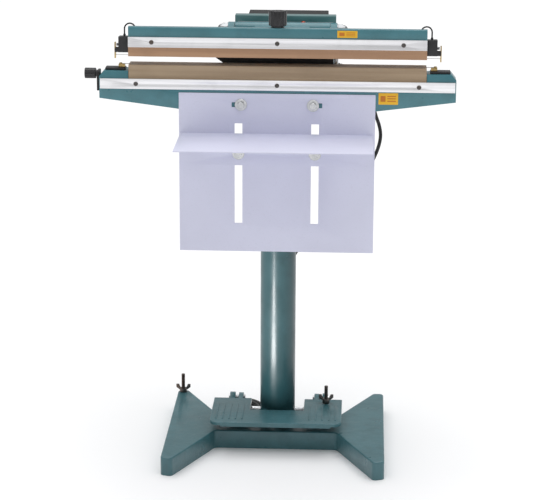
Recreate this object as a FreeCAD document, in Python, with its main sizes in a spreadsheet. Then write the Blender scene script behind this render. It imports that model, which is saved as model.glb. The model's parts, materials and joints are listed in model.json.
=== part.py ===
"""Foot-operated impulse heat sealer on a column stand, as a parametric document.

Millimetres.  The origin is on the column's axis at the floor, +Z up, +X to the operator's right
and +Y away from the operator.  The sealing arm is drawn closed and stands open at rest.
"""
import FreeCAD
import Part
import math
import os
import re
import Sketcher

doc = FreeCAD.newDocument("HeatSealer")
dims = doc.addObject("Spreadsheet::Sheet", "dims")

SIZES = {
    # base casting: two feet joined by a crossbar
    "base_height": 40, "base_wall": 8, "foot_half_span": 233, "foot_front": -254, "foot_rear": 162,
    "foot_tip_width": 23, "foot_tip_slant": 8, "crossbar_half_span": 131, "crossbar_front": -92,
    "crossbar_rear": 64, "crossbar_rear_half_span": 108, "waist_x": 136, "waist_y": 18,
    "socket_radius": 50, "socket_floor": 14, "socket_collar": 2,
    "arm_slot_inner": 74, "arm_slot_outer": 94, "arm_slot_front": -58, "arm_slot_rear": 50,
    "lug_inner": 97, "lug_outer": 109,
    # pedal and its link
    "pedal_half_width": 141, "pedal_front": -127, "pedal_rear": 29, "pedal_top": 72,
    "pedal_thickness": 7, "pedal_corner": 20, "pedal_lip": 3, "notch_half_width": 58, "notch_front": -44,
    "grip_rib_width": 3, "grip_rib_height": 1.5, "grip_rib_pitch": 14, "grip_rib_count": 5,
    "pivot_y": 75, "pivot_z": 58, "pivot_pin_radius": 5, "pivot_boss_radius": 9.5,
    "lever_inner": 79, "lever_outer": 89, "link_pin_radius": 5,
    "running_clearance": 0.05, "link_clearance": 1, "pull_rod_radius": 5,
    # column
    "column_radius": 38, "column_bore": 35, "column_top": 752,
    # sealing jaws
    "jaw_half_length": 305, "jaw_face": -107, "jaw_depth": 40, "seal_line": 839, "closed_gap": 0.6,
    "cloth": 0.8, "cloth_return": 12, "cloth_below_screw": 6,
    "ribbon": 0.4, "ribbon_width": 6, "ribbon_reach": 332.4, "lower_ribbon_reach": 319,
    "strip_depth": 3.2, "strip_height": 21, "lower_strip_middle": 800, "upper_strip_middle": 869.5,
    "strip_screw_radius": 4.5, "upper_screw_pitch": 257, "lower_screw_pitch": 290,
    # lower arm casting
    "lower_half_length": 366, "lower_seat": 812, "lower_end_top": 826, "lower_end_bottom": 769,
    "lower_middle_bottom": 748, "lower_depth": 45, "neck_half_width": 118, "neck_top": 800,
    "neck_rear": 300, "neck_rear_bottom": 772, "head_socket_bottom": 722, "casting_wall": 10,
    "cover_top": 851, "post_x": 119, "post_y": -44, "post_boss_radius": 9,
    # arm hinge
    "post_radius": 5, "hinge_y": 160, "hinge_z": 872, "hinge_shaft_radius": 7, "hinge_half_length": 143,
    "hinge_lug_inner": 104, "open_angle": 3.6,
    # upper arm casting
    "beam_top": 901, "beam_web": 18, "beam_seat": 855, "arm_plate_top": 880, "arm_plate_bottom": 864,
    "lead_rise": 14.2, "lead_arch": 36, "electrode_z": 851, "block_top": 879,
    "knob_radius": 18.7, "knob_height": 34, "knob_y": -90,
    # control box and rear cover
    "box_middle_x": 5, "box_half_width": 110, "box_front": 186, "box_depth": 28, "box_top": 897,
    "sheet": 2, "cover_half_width": 87, "cover_middle_x": 10, "cover_depth": 86, "cover_flat": 54,
    "cover_rear_top": 876, "timer_x": -46, "timer_z": 858, "lamp_x": 44, "lamp_z": 880,
    "switch_x": 65, "switch_z": 872,
    # work table and shelf
    "table_half_width": 202, "table_top": 783, "table_bottom": 447, "table_sheet": 2,
    "table_bolt_x": 74, "table_bolt_z": 759, "table_slot_inner": 9, "table_slot_outer": 19,
    "table_slot_width": 10,
    "shelf_slot_x": 79, "shelf_slot_bottom": 508, "shelf_slot_top": 720, "shelf_slot_width": 16,
    "shelf_top": 699, "shelf_reach": 174, "shelf_flange": 67, "shelf_half_width": 199,
    "shelf_bolt_z": 657, "washer_radius": 12.5, "washer_thickness": 2, "bolt_head_radius": 7.5,
    "bolt_head_height": 5.5, "bolt_radius": 4,
    # hand-turned studs
    "level_stud_x": -221, "level_stud_y": 150, "level_stud_top": 83, "stop_stud_x": 106,
    "stop_stud_y": 5, "stop_stud_top": 112, "stud_radius": 4, "wing_nut_radius": 8,
    "wing_nut_height": 9, "wing_span": 32, "wing_rise": 8, "wing_thickness": 3,
    # mains lead
    "lead_radius": 4, "gland_y": 225, "gland_z": 777, "gland_neck_radius": 8, "gland_length": 10,
    "relief_length": 22, "clamp_axis_z": 817.5, "clamp_bottom": 784, "clamp_top": 824,
    "coil_x": -88, "coil_y": 130, "coil_mean_radius": 46, "coil_height": 16.6, "floor_gap": 0.2,
    "plug_x": 66, "plug_y": 103, "plug_length": 38, "plug_width": 34, "plug_height": 21,
}


def fill_sheet():
    """Write every driving dimension into the sheet, one named row each."""
    for row, (name, number) in enumerate(SIZES.items(), start=1):
        dims.set(f"A{row}", name)
        dims.set(f"B{row}", str(number))
        dims.setAlias(f"B{row}", name)
    doc.recompute()


def on_sheet(text):
    """Turn names of dimensions in an expression into references to the sheet."""
    return re.sub(r"[a-z]\w*", lambda word: f"dims.{word[0]}" if word[0] in SIZES else word[0], str(text))


def value(text):
    """Number that an expression over the sheet gives now."""
    return float(dims.evalExpression(on_sheet(text)))


def bind(thing, prop, text):
    thing.setExpression(prop, on_sheet(text))


def mirror(text):
    """Expression for the same distance on the other side of the middle plane."""
    return f"-({text})"


# ---------------------------------------------------------------- PartDesign helpers

def new_body(label):
    body = doc.addObject("PartDesign::Body", label)
    body.Label = label
    return body


def new_sketch(body, role, offset="0"):
    """Sketch on one of the body's own origin planes, moved along the plane's normal."""
    plane = next(item for item in body.Origin.OriginFeatures if item.Role == role)
    sketch = body.newObject("Sketcher::SketchObject", f"{body.Label}_sketch")
    sketch.AttachmentSupport = [(plane, "")]
    sketch.MapMode = "FlatFace"
    bind(sketch, "AttachmentOffset.Base.z", offset)
    return sketch


def hold(sketch, geometry, point, across, up):
    """Pin one sketch point to its two driving distances from the origin."""
    for kind, text in (("DistanceX", across), ("DistanceY", up)):
        rule = Sketcher.Constraint(kind, -1, 1, geometry, point, value(text))
        bind(sketch, f"Constraints[{sketch.addConstraint(rule)}]", text)


def outline(sketch, corners):
    """Closed outline of straight edges through corners given as pairs of expressions."""
    spots = [FreeCAD.Vector(value(across), value(up), 0) for across, up in corners]
    first = sketch.GeometryCount
    count = len(spots)
    for number in range(count):
        sketch.addGeometry(Part.LineSegment(spots[number], spots[(number + 1) % count]), False)
    for number in range(count):
        following = first + (number + 1) % count
        sketch.addConstraint(Sketcher.Constraint("Coincident", first + number, 2, following, 1))
    for number, (across, up) in enumerate(corners):
        hold(sketch, first + number, 1, across, up)


def rectangle(sketch, left, right, bottom, top):
    outline(sketch, [(left, bottom), (right, bottom), (right, top), (left, top)])


def circle(sketch, across, up, radius):
    middle = FreeCAD.Vector(value(across), value(up), 0)
    number = sketch.addGeometry(Part.Circle(middle, FreeCAD.Vector(0, 0, 1), value(radius)), False)
    hold(sketch, number, 3, across, up)
    rule = Sketcher.Constraint("Radius", number, value(radius))
    bind(sketch, f"Constraints[{sketch.addConstraint(rule)}]", radius)


def extrude(body, kind, sketch, length, backwards):
    feature = body.newObject(f"PartDesign::{kind}", f"{body.Label}_{kind.lower()}")
    feature.Profile = sketch
    feature.Reversed = backwards
    if length is None:
        feature.Type = "ThroughAll"
    else:
        bind(feature, "Length", length)
    doc.recompute()
    return feature


def pad(body, sketch, length, backwards=False):
    """Add material along the sketch's normal, or against it when backwards."""
    return extrude(body, "Pad", sketch, length, backwards)


def pocket(body, sketch, length=None, backwards=False):
    """Cut against the sketch's normal, or along it when backwards, and prove that it cut."""
    before = body.Shape.Volume
    feature = extrude(body, "Pocket", sketch, length, backwards)
    if body.Shape.Volume > before - 0.1:
        raise RuntimeError(f"{feature.Name} cuts nothing")
    return feature


def fillet(body, radius, wanted):
    """Round the edges that the test picks from the body's present shape."""
    tip = body.Tip
    edges = [f"Edge{number}" for number, edge in enumerate(tip.Shape.Edges, start=1) if wanted(edge)]
    if not edges:
        raise RuntimeError(f"{body.Label} has no such edge to round")
    feature = body.newObject("PartDesign::Fillet", f"{body.Label}_fillet")
    feature.Base = (tip, edges)
    bind(feature, "Radius", radius)
    doc.recompute()


def upright(edge):
    return edge.BoundBox.XLength < 0.01 and edge.BoundBox.YLength < 0.01


def upright_near(spots, reach=1.0):
    """Test for upright edges that stand at one of the given (x, y) expressions."""
    places = [(value(across), value(up)) for across, up in spots]

    def wanted(edge):
        box = edge.BoundBox
        near = any(math.hypot(box.XMin - x, box.YMin - y) < reach for x, y in places)
        return upright(edge) and near
    return wanted


def level_at(height):
    """Test for edges that lie flat at one height."""
    level = value(height)
    return lambda edge: abs(edge.BoundBox.ZMin - level) < 0.01 and abs(edge.BoundBox.ZMax - level) < 0.01


def plate(label, role, offset, corners, thickness, backwards=False):
    """Body padded from one straight-edged outline."""
    body = new_body(label)
    sketch = new_sketch(body, role, offset)
    outline(sketch, corners)
    pad(body, sketch, thickness, backwards)
    return body


# ---------------------------------------------------------------- Part helpers

DIRECTIONS = {
    "X": FreeCAD.Rotation(FreeCAD.Vector(0, 1, 0), 90),
    "Y": FreeCAD.Rotation(FreeCAD.Vector(1, 0, 0), -90),
    "Z": FreeCAD.Rotation(),
}


def place(thing, spot, rotation=FreeCAD.Rotation()):
    thing.Placement = FreeCAD.Placement(FreeCAD.Vector(), rotation)
    for axis, text in zip("xyz", spot):
        bind(thing, f"Placement.Base.{axis}", text)


def block(low, high, label="block"):
    """Box between two corners given as expressions."""
    box = doc.addObject("Part::Box", label)
    box.Label = label
    for prop, bottom, top in zip(("Length", "Width", "Height"), low, high):
        bind(box, prop, f"({top}) - ({bottom})")
    place(box, low)
    return box


def bar(radius, start, length, along="Z", label="bar"):
    """Round bar from a start point along +X, +Y or +Z."""
    cylinder = doc.addObject("Part::Cylinder", label)
    cylinder.Label = label
    bind(cylinder, "Radius", radius)
    bind(cylinder, "Height", length)
    place(cylinder, start, DIRECTIONS[along])
    return cylinder


def taper(radius, end_radius, start, length, along="Z", label="taper"):
    cone = doc.addObject("Part::Cone", label)
    cone.Label = label
    bind(cone, "Radius1", radius)
    bind(cone, "Radius2", end_radius)
    bind(cone, "Height", length)
    place(cone, start, DIRECTIONS[along])
    return cone


def dome(radius, middle, label="dome"):
    sphere = doc.addObject("Part::Sphere", label)
    sphere.Label = label
    bind(sphere, "Radius", radius)
    place(sphere, middle)
    return sphere


def hexagon(radius, start, length, along="Z", label="hexagon"):
    """Six-sided bar, its radius taken to the corners."""
    prism = doc.addObject("Part::Prism", label)
    prism.Label = label
    prism.Polygon = 6
    bind(prism, "Circumradius", radius)
    bind(prism, "Height", length)
    place(prism, start, DIRECTIONS[along])
    return prism


def fused(label, pieces):
    whole = doc.addObject("Part::MultiFuse", label)
    whole.Label = label
    whole.Shapes = pieces
    return whole


def cut(label, base, tools):
    whole = doc.addObject("Part::Cut", label)
    whole.Label = label
    whole.Base = base
    whole.Tool = tools[0] if len(tools) == 1 else fused(f"{label}_tools", tools)
    return whole


def group(label, pieces):
    """Identical or paired pieces that stay separate solids in one sub-part."""
    whole = doc.addObject("Part::Compound", label)
    whole.Label = label
    whole.Links = pieces
    return whole


# ---------------------------------------------------------------- stand

def base_casting():
    """Bow-tie casting: two blunt triangular feet joined by a hollow crossbar."""
    body = new_body("base_casting")
    right_side = [
        ("crossbar_half_span", "crossbar_front"),
        ("foot_half_span - foot_tip_width", "foot_front - foot_tip_slant"),
        ("foot_half_span", "foot_front"),
        ("foot_half_span", "foot_rear"),
        ("foot_half_span - foot_tip_width", "foot_rear"),
        ("waist_x", "waist_y"),
        ("crossbar_rear_half_span", "crossbar_rear"),
    ]
    left_side = [(mirror(across), up) for across, up in reversed(right_side)]
    plan = new_sketch(body, "XY_Plane")
    outline(plan, right_side + left_side)
    pad(body, plan, "base_height")
    tips = right_side[1:5] + left_side[2:6]
    fillet(body, "9", upright_near(tips))
    fillet(body, "12", upright_near([right_side[0], left_side[-1]]))
    fillet(body, "3", level_at("base_height"))
    hollow_out_base(body)
    lugs = new_sketch(body, "YZ_Plane", "lug_inner")
    outline(lugs, lug_profile())
    pad(body, lugs, "lug_outer - lug_inner")
    lugs = new_sketch(body, "YZ_Plane", "-lug_outer")
    outline(lugs, lug_profile())
    pad(body, lugs, "lug_outer - lug_inner")
    drill = new_sketch(body, "YZ_Plane", "lug_outer + 1")
    circle(drill, "pivot_y", "pivot_z", "pivot_pin_radius + running_clearance")
    pocket(body, drill, "2 * lug_outer + 2")
    studs = new_sketch(body, "XY_Plane")
    circle(studs, "level_stud_x", "level_stud_y", "stud_radius + running_clearance")
    circle(studs, "stop_stud_x", "stop_stud_y", "stud_radius + running_clearance")
    pocket(body, studs, backwards=True)


def lug_profile():
    """Side view of a cast lug that carries the pedal's pivot behind the crossbar."""
    boss = "pivot_boss_radius"
    return [
        ("crossbar_rear - 18", "base_height - 4"),
        ("crossbar_rear - 4", "base_height - 4"),
        ("crossbar_rear - 4", "base_height - 15"),
        ("crossbar_rear + 2", "base_height - 15"),
        (f"pivot_y + {boss}", "pivot_z - 5"),
        (f"pivot_y + {boss}", "pivot_z + 5"),
        ("pivot_y + 5", f"pivot_z + {boss}"),
        ("pivot_y - 5", f"pivot_z + {boss}"),
        ("crossbar_rear - 18", "base_height + 4"),
    ]


def hollow_out_base(body):
    """Open underside, the column's socket and the slots for the pedal's lever arms."""
    wall = "base_wall"
    right_foot = [
        (f"foot_half_span - {wall}", "foot_front + 32"),
        (f"foot_half_span - {wall}", "foot_rear - 42"),
        (f"waist_x + {wall} + 2", "waist_y - 4"),
        (f"waist_x + {wall} + 2", "crossbar_front"),
    ]
    under = new_sketch(body, "XY_Plane")
    outline(under, right_foot)
    outline(under, [(mirror(across), up) for across, up in reversed(right_foot)])
    rectangle(under, "-crossbar_rear_half_span", "-socket_radius - 4",
              f"crossbar_front + {wall}", f"crossbar_rear - {wall}")
    rectangle(under, "socket_radius + 4", "crossbar_rear_half_span",
              f"crossbar_front + {wall}", f"crossbar_rear - {wall}")
    pocket(body, under, "base_height - base_wall", backwards=True)
    slots = new_sketch(body, "XY_Plane")
    for inner, outer in (("arm_slot_inner", "arm_slot_outer"), ("-arm_slot_outer", "-arm_slot_inner")):
        rectangle(slots, inner, outer, "arm_slot_front", "arm_slot_rear")
    pocket(body, slots, backwards=True)
    collar = new_sketch(body, "XY_Plane", "base_height - 2")
    circle(collar, "0", "0", "socket_radius - 3")
    pad(body, collar, "2 + socket_collar")
    socket = new_sketch(body, "XY_Plane", "socket_floor")
    circle(socket, "0", "0", "column_radius + running_clearance")
    pocket(body, socket, backwards=True)


def column_tube():
    """Steel tube with a slot in each side for the link pin of the pedal."""
    outer = bar("column_radius", ("0", "0", "socket_floor"), "column_top - socket_floor")
    inner = bar("column_bore", ("0", "0", "socket_floor - 1"), "column_top - socket_floor + 2")
    slot_low = ("-column_radius - 1", "-link_pin_radius - 2.5", "base_height + 2.2")
    slot_high = ("column_radius + 1", "link_pin_radius + 2.5", "pivot_z + link_pin_radius + 1.5")
    cut("column_tube", outer, [inner, block(slot_low, slot_high)])


def wing_nut(label, across, along, seat):
    """Round-hubbed nut with two rising wings, bored for its stud."""
    body = new_body(label)
    hub = new_sketch(body, "XY_Plane", seat)
    circle(hub, across, along, "wing_nut_radius")
    pad(body, hub, "wing_nut_height")
    wings = new_sketch(body, "XZ_Plane", f"-({along}) - wing_thickness / 2")
    half = "wing_span / 2"
    top = f"{seat} + wing_nut_height"
    right = [
        (f"{across} + wing_nut_radius - 2", f"{seat} + 2"),
        (f"{across} + {half}", f"{top} + 1"),
        (f"{across} + {half}", f"{top} + wing_rise"),
        (f"{across} + {half} - 6", f"{top} + wing_rise"),
        (f"{across} + wing_nut_radius - 2", f"{top} - 1"),
    ]
    left = [
        (f"{across} - wing_nut_radius + 2", f"{top} - 1"),
        (f"{across} - {half} + 6", f"{top} + wing_rise"),
        (f"{across} - {half}", f"{top} + wing_rise"),
        (f"{across} - {half}", f"{top} + 1"),
        (f"{across} - wing_nut_radius + 2", f"{seat} + 2"),
    ]
    outline(wings, right + left)
    pad(body, wings, "wing_thickness", backwards=True)
    bore = new_sketch(body, "XY_Plane", seat)
    circle(bore, across, along, "stud_radius + running_clearance")
    pocket(body, bore, backwards=True)


def hand_studs():
    """Levelling stud in the left foot and the stud that limits the pedal's rise, with their nuts."""
    bar("stud_radius", ("level_stud_x", "level_stud_y", "1"), "level_stud_top - 1", label="levelling_stud")
    wing_nut("levelling_wing_nut", "level_stud_x", "level_stud_y", "base_height + 0.3")
    bar("stud_radius", ("stop_stud_x", "stop_stud_y", "base_height - base_wall"),
        "stop_stud_top - base_height + base_wall", label="pedal_stop_stud")
    wing_nut("pedal_wing_nut", "stop_stud_x", "stop_stud_y", "pedal_top + grip_rib_height + 0.5")


def pedal_pivot_pins():
    """Two pins that carry the pedal's lever arms in the base lugs."""
    reach = "lug_outer + 3 - lever_inner + 4"
    right = bar("pivot_pin_radius", ("lever_inner - 4", "pivot_y", "pivot_z"), reach, "X")
    left = bar("pivot_pin_radius", ("-lug_outer - 3", "pivot_y", "pivot_z"), reach, "X")
    group("pedal_pivot_pins", [right, left])


def foot_pedal():
    """Ribbed treadle notched around the column, with two lever arms that reach its pivot."""
    body = new_body("foot_pedal")
    plan = new_sketch(body, "XY_Plane", "pedal_top - pedal_thickness")
    outline(plan, [
        ("-pedal_half_width", "pedal_front"), ("pedal_half_width", "pedal_front"),
        ("pedal_half_width", "pedal_rear"), ("notch_half_width", "pedal_rear"),
        ("notch_half_width", "notch_front"), ("-notch_half_width", "notch_front"),
        ("-notch_half_width", "pedal_rear"), ("-pedal_half_width", "pedal_rear"),
    ])
    pad(body, plan, "pedal_thickness")
    fillet(body, "pedal_corner", upright_near([("pedal_half_width", "pedal_front"),
                                               ("-pedal_half_width", "pedal_front")]))
    fillet(body, "2", level_at("pedal_top"))
    lip = new_sketch(body, "XY_Plane", "pedal_top - pedal_thickness - pedal_lip")
    rectangle(lip, "-pedal_half_width + pedal_corner + 3", "pedal_half_width - pedal_corner - 3",
              "pedal_front", "pedal_front + 6")
    pad(body, lip, "pedal_lip + 1")
    grip_ribs(body)
    for low in ("lever_inner", "-lever_outer"):
        pedal_lever(body, low)
    drill = new_sketch(body, "YZ_Plane", "lever_outer + 1")
    circle(drill, "pivot_y", "pivot_z", "pivot_pin_radius + running_clearance")
    circle(drill, "0", "pivot_z", "link_pin_radius")
    pocket(body, drill, "2 * lever_outer + 2")
    studs = new_sketch(body, "XY_Plane", "pedal_top - pedal_thickness - 1")
    circle(studs, "stop_stud_x", "stop_stud_y", "stud_radius + 3")
    pocket(body, studs, "pedal_thickness + 4", backwards=True)


def grip_ribs(body):
    """Raised anti-slip ribs on both wings of the treadle."""
    ribs = new_sketch(body, "XY_Plane", "pedal_top - 0.5")
    for side in (1, -1):
        for number in range(int(value("grip_rib_count"))):
            middle = f"{side} * (notch_half_width + 14 + {number} * grip_rib_pitch)"
            rectangle(ribs, f"{middle} - grip_rib_width / 2", f"{middle} + grip_rib_width / 2",
                      "pedal_front + 22", "pedal_rear - 42")
    pad(body, ribs, "grip_rib_height + 0.5")


def pedal_lever(body, low):
    """One lever arm under the treadle, from mid-pedal back to the pivot boss."""
    side = new_sketch(body, "YZ_Plane", low)
    under = "pedal_top - pedal_thickness"
    outline(side, [
        ("-60", f"{under} + 1"), ("-60", f"{under} - 6"), ("-10", "pivot_z - 9"),
        ("pivot_y - 4", "pivot_z - pivot_boss_radius + 1"),
        ("pivot_y - 4", "pivot_z + pivot_boss_radius - 1"),
        ("pedal_rear", f"{under} + 1"),
    ])
    pad(body, side, "lever_outer - lever_inner")
    boss = new_sketch(body, "YZ_Plane", low)
    circle(boss, "pivot_y", "pivot_z", "pivot_boss_radius")
    pad(body, boss, "lever_outer - lever_inner")


def link_parts():
    """Cross pin of the pedal and the pull rod that runs up inside the column to the arm."""
    bar("link_pin_radius", ("-lever_outer", "0", "pivot_z"), "2 * lever_outer", "X", "pedal_link_pin")
    top = open_link_height()
    stem = bar("pull_rod_radius", ("0", "0", "pivot_z"), f"({top}) - pivot_z")
    eyes = [bar("link_pin_radius + 6", ("-7", "0", height), "14", "X") for height in ("pivot_z", top)]
    holes = [bar("link_pin_radius + link_clearance", ("-8", "0", height), "16", "X")
             for height in ("pivot_z", top)]
    cut("pull_rod", fused("pull_rod_solid", [stem] + eyes), holes)


def open_link_height():
    """Height of the arm's link pin while the arm stands open."""
    return "hinge_z + hinge_y * sin(open_angle * 1deg)"


# ---------------------------------------------------------------- fixed head

def lower_arm():
    """Casting that carries the lower jaw, the head neck, the hinge lugs and the column socket."""
    body = new_body("lower_arm")
    end = "lower_half_length"
    right_side = [
        ("200", "lower_middle_bottom"), (end, "lower_end_bottom"), (end, "lower_end_top - 12"),
        (f"{end} - 10", "lower_end_top"), ("jaw_half_length + 1", "lower_end_top"),
        ("jaw_half_length + 1", "lower_seat"),
    ]
    left_side = [(mirror(across), up) for across, up in reversed(right_side)]
    front = new_sketch(body, "XZ_Plane", "-jaw_face")
    outline(front, right_side + left_side)
    pad(body, front, "lower_depth", backwards=True)
    back = new_sketch(body, "XZ_Plane", "-jaw_face - casting_wall")
    for side in (1, -1):
        corners = [(f"{side} * (neck_half_width + 8)", "lower_middle_bottom + 10"),
                   (f"{side} * 200", "lower_middle_bottom + 10"),
                   (f"{side} * ({end} - 10)", "lower_end_bottom + 10"),
                   (f"{side} * ({end} - 10)", "lower_seat - 10"),
                   (f"{side} * (neck_half_width + 8)", "lower_seat - 10")]
        outline(back, corners if side > 0 else corners[::-1])
    pocket(body, back, "lower_depth")
    neck = new_sketch(body, "YZ_Plane", "-neck_half_width")
    outline(neck, [
        ("jaw_face + casting_wall", "lower_middle_bottom"), ("60", "lower_middle_bottom"),
        ("neck_rear", "neck_rear_bottom"), ("neck_rear", "neck_top"),
        ("jaw_face + casting_wall", "neck_top"),
    ])
    pad(body, neck, "2 * neck_half_width")
    under = new_sketch(body, "XY_Plane", "neck_top - 12")
    rectangle(under, "-neck_half_width + casting_wall", "neck_half_width - casting_wall",
              "jaw_face + lower_depth", "neck_rear - casting_wall")
    pocket(body, under, "90")
    boss = new_sketch(body, "XY_Plane", "head_socket_bottom")
    circle(boss, "0", "0", "socket_radius")
    pad(body, boss, "neck_top - 4 - head_socket_bottom")
    post_boss = new_sketch(body, "XY_Plane", "neck_top - 12")
    circle(post_boss, "post_x", "post_y", "post_boss_radius")
    pad(body, post_boss, "12")
    for low in ("hinge_lug_inner", "-neck_half_width"):
        lug = new_sketch(body, "YZ_Plane", low)
        outline(lug, hinge_lug_profile())
        pad(body, lug, "neck_half_width - hinge_lug_inner")
    drill_lower_arm(body)


def hinge_lug_profile():
    return [
        ("hinge_y - 26", "neck_top - 4"), ("hinge_y + 24", "neck_top - 4"),
        ("hinge_y + 16", "hinge_z + 6"), ("hinge_y + 8", "hinge_z + 14"),
        ("hinge_y - 8", "hinge_z + 14"), ("hinge_y - 16", "hinge_z + 6"),
    ]


def drill_lower_arm(body):
    hinge = new_sketch(body, "YZ_Plane", "neck_half_width + 1")
    circle(hinge, "hinge_y", "hinge_z", "hinge_shaft_radius + running_clearance")
    pocket(body, hinge, "2 * neck_half_width + 2")
    socket = new_sketch(body, "XY_Plane", "head_socket_bottom")
    circle(socket, "0", "0", "column_radius + running_clearance")
    pocket(body, socket, "column_top - head_socket_bottom", backwards=True)
    rod_way = new_sketch(body, "XY_Plane", "head_socket_bottom")
    circle(rod_way, "0", "0", "pull_rod_radius + 4")
    pocket(body, rod_way, backwards=True)
    bolts = new_sketch(body, "XZ_Plane", "-jaw_face")
    for side in (1, -1):
        circle(bolts, f"{side} * table_bolt_x", "table_bolt_z", "bolt_radius + running_clearance")
    pocket(body, bolts, "casting_wall + 6")
    stop = new_sketch(body, "XY_Plane", "neck_top - 13")
    circle(stop, "post_x", "post_y", "post_radius")
    pocket(body, stop, backwards=True)
    gland = new_sketch(body, "YZ_Plane", "neck_half_width + 1")
    circle(gland, "gland_y", "gland_z", "gland_neck_radius + running_clearance")
    pocket(body, gland, "casting_wall + 2")


def jaw_cloth(label, low_edge, high_edge, facing, pitch):
    """Folded cloth over a jaw bar, pierced for the screws; facing is 1 when the fold is on top."""
    outer = "cloth"
    front = f"jaw_face - {outer}"
    back = f"jaw_face + jaw_depth + {outer}"
    fold = high_edge if facing > 0 else low_edge
    rim = low_edge if facing > 0 else high_edge
    screw_height = f"({rim}) + {facing} * cloth_below_screw"
    inner_fold = f"({fold}) - {facing} * {outer}"
    back_rim = f"({fold}) - {facing} * cloth_return"
    corners = [(front, rim), (front, fold), (back, fold), (back, back_rim),
               (f"{back} - {outer}", back_rim), (f"{back} - {outer}", inner_fold),
               (f"{front} + {outer}", inner_fold), (f"{front} + {outer}", rim)]
    body = plate(label, "YZ_Plane", "-jaw_half_length", corners, "2 * jaw_half_length")
    holes = new_sketch(body, "XZ_Plane", f"-({front})")
    for across in (f"-({pitch})", "0", pitch):
        circle(holes, across, screw_height, "2.55")
    pocket(body, holes, "cloth + 1")
    return body


def clamp_strip(label, half_length, middle, pitch, screws_label):
    """Aluminium strip that holds the cloth's edge, with its three screws."""
    front = "jaw_face - cloth - strip_depth"
    low = (f"-({half_length})", front, f"{middle} - strip_height / 2")
    high = (half_length, "jaw_face - cloth", f"{middle} + strip_height / 2")
    seats = [f"{side} * {pitch}" for side in (-1, 0, 1)]
    holes = [bar("2.55", (across, f"{front} - 1", middle), "strip_depth + 3", "Y") for across in seats]
    strip = cut(label, block(low, high), holes)
    screws = []
    for across in seats:
        head = bar("strip_screw_radius", (across, f"{front} - 2", middle), "2", "Y")
        stem = bar("2.5", (across, front, middle), "strip_depth + cloth", "Y")
        recess = bar("1.6", (across, f"{front} - 2.5", middle), "1.6", "Y")
        screws.append(cut("screw", fused("screw_solid", [head, stem]), [recess]))
    return strip, group(screws_label, screws)


def lower_jaw():
    """Bar, ribbon, cloth and clamp strip of the fixed jaw."""
    seal = "seal_line"
    rear = "jaw_face + jaw_depth"
    bar_top = f"{seal} - cloth - ribbon - 0.2"
    block(("-jaw_half_length", "jaw_face", "lower_seat"), ("jaw_half_length", rear, bar_top), "lower_jaw_bar")
    ribbon_low = ("-lower_ribbon_reach", "jaw_face + jaw_depth / 2 - ribbon_width / 2", bar_top)
    ribbon_high = ("lower_ribbon_reach", "jaw_face + jaw_depth / 2 + ribbon_width / 2", f"{bar_top} + ribbon")
    block(ribbon_low, ribbon_high, "lower_heating_ribbon")
    jaw_cloth("lower_sealing_cloth", "lower_strip_middle - cloth_below_screw", seal, 1, "lower_screw_pitch")
    clamp_strip("lower_clamp_strip", "lower_half_length - 2", "lower_strip_middle", "lower_screw_pitch",
                "lower_strip_screws")


def span(side, near, far):
    """The lower and the higher of two distances from the middle plane, on the given side."""
    ends = (f"{side} * ({near})", f"{side} * ({far})")
    return ends if side > 0 else ends[::-1]


def lower_terminals():
    """Insulating blocks on both ends of the fixed jaw, and the brass tabs that hold its ribbon."""
    blocks = []
    tabs = []
    middle = "jaw_face + jaw_depth / 2"
    tab_top = "seal_line - cloth - ribbon - 0.2"
    for side in (1, -1):
        low_x, high_x = span(side, "jaw_half_length + 7.5", "lower_half_length - 12")
        blocks.append(block((low_x, f"{middle} - 12", "lower_end_top"),
                            (high_x, f"{middle} + 12", "lower_end_top + 5")))
        low_x, high_x = span(side, "jaw_half_length + 9", "jaw_half_length + 22")
        tab = block((low_x, f"{middle} - 6", "lower_end_top + 5"), (high_x, f"{middle} + 6", tab_top))
        screw = bar("3", (f"{side} * (jaw_half_length + 18)", middle, tab_top), "2.2")
        tabs.append(fused("tab", [tab, screw]))
    group("lower_terminal_blocks", blocks)
    group("lower_terminals", tabs)


def end_clamp():
    """Black bracket on the left end of the lower arm and the knob that tightens it."""
    face = "-lower_half_length"
    axis_y = "jaw_face + 18"
    bracket = block((f"{face} - 5", "jaw_face + 2", "clamp_bottom"), (face, "jaw_face + 34", "clamp_top"))
    hole = bar("4.05", (f"{face} - 6", axis_y, "clamp_axis_z"), "7", "X")
    cut("end_bracket", bracket, [hole])
    grip = bar("11", (f"{face} - 31", axis_y, "clamp_axis_z"), "20", "X")
    collar = bar("7", (f"{face} - 11", axis_y, "clamp_axis_z"), "5.7", "X")
    stud = bar("4", (f"{face} - 6", axis_y, "clamp_axis_z"), "6", "X")
    fused("end_knob", [grip, collar, stud])


def neck_cover():
    """Black sheet behind the jaws that closes the front of the head, one upper corner slanted."""
    return plate("neck_cover", "XZ_Plane", "57", [
        ("-neck_half_width + 12", "neck_top"), ("neck_half_width - 18", "neck_top"),
        ("neck_half_width - 4", "neck_top + 14"), ("neck_half_width - 4", "cover_top"),
        ("-neck_half_width - 17", "cover_top"), ("-neck_half_width + 12", "cover_top - 20"),
    ], "1.5")


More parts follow.
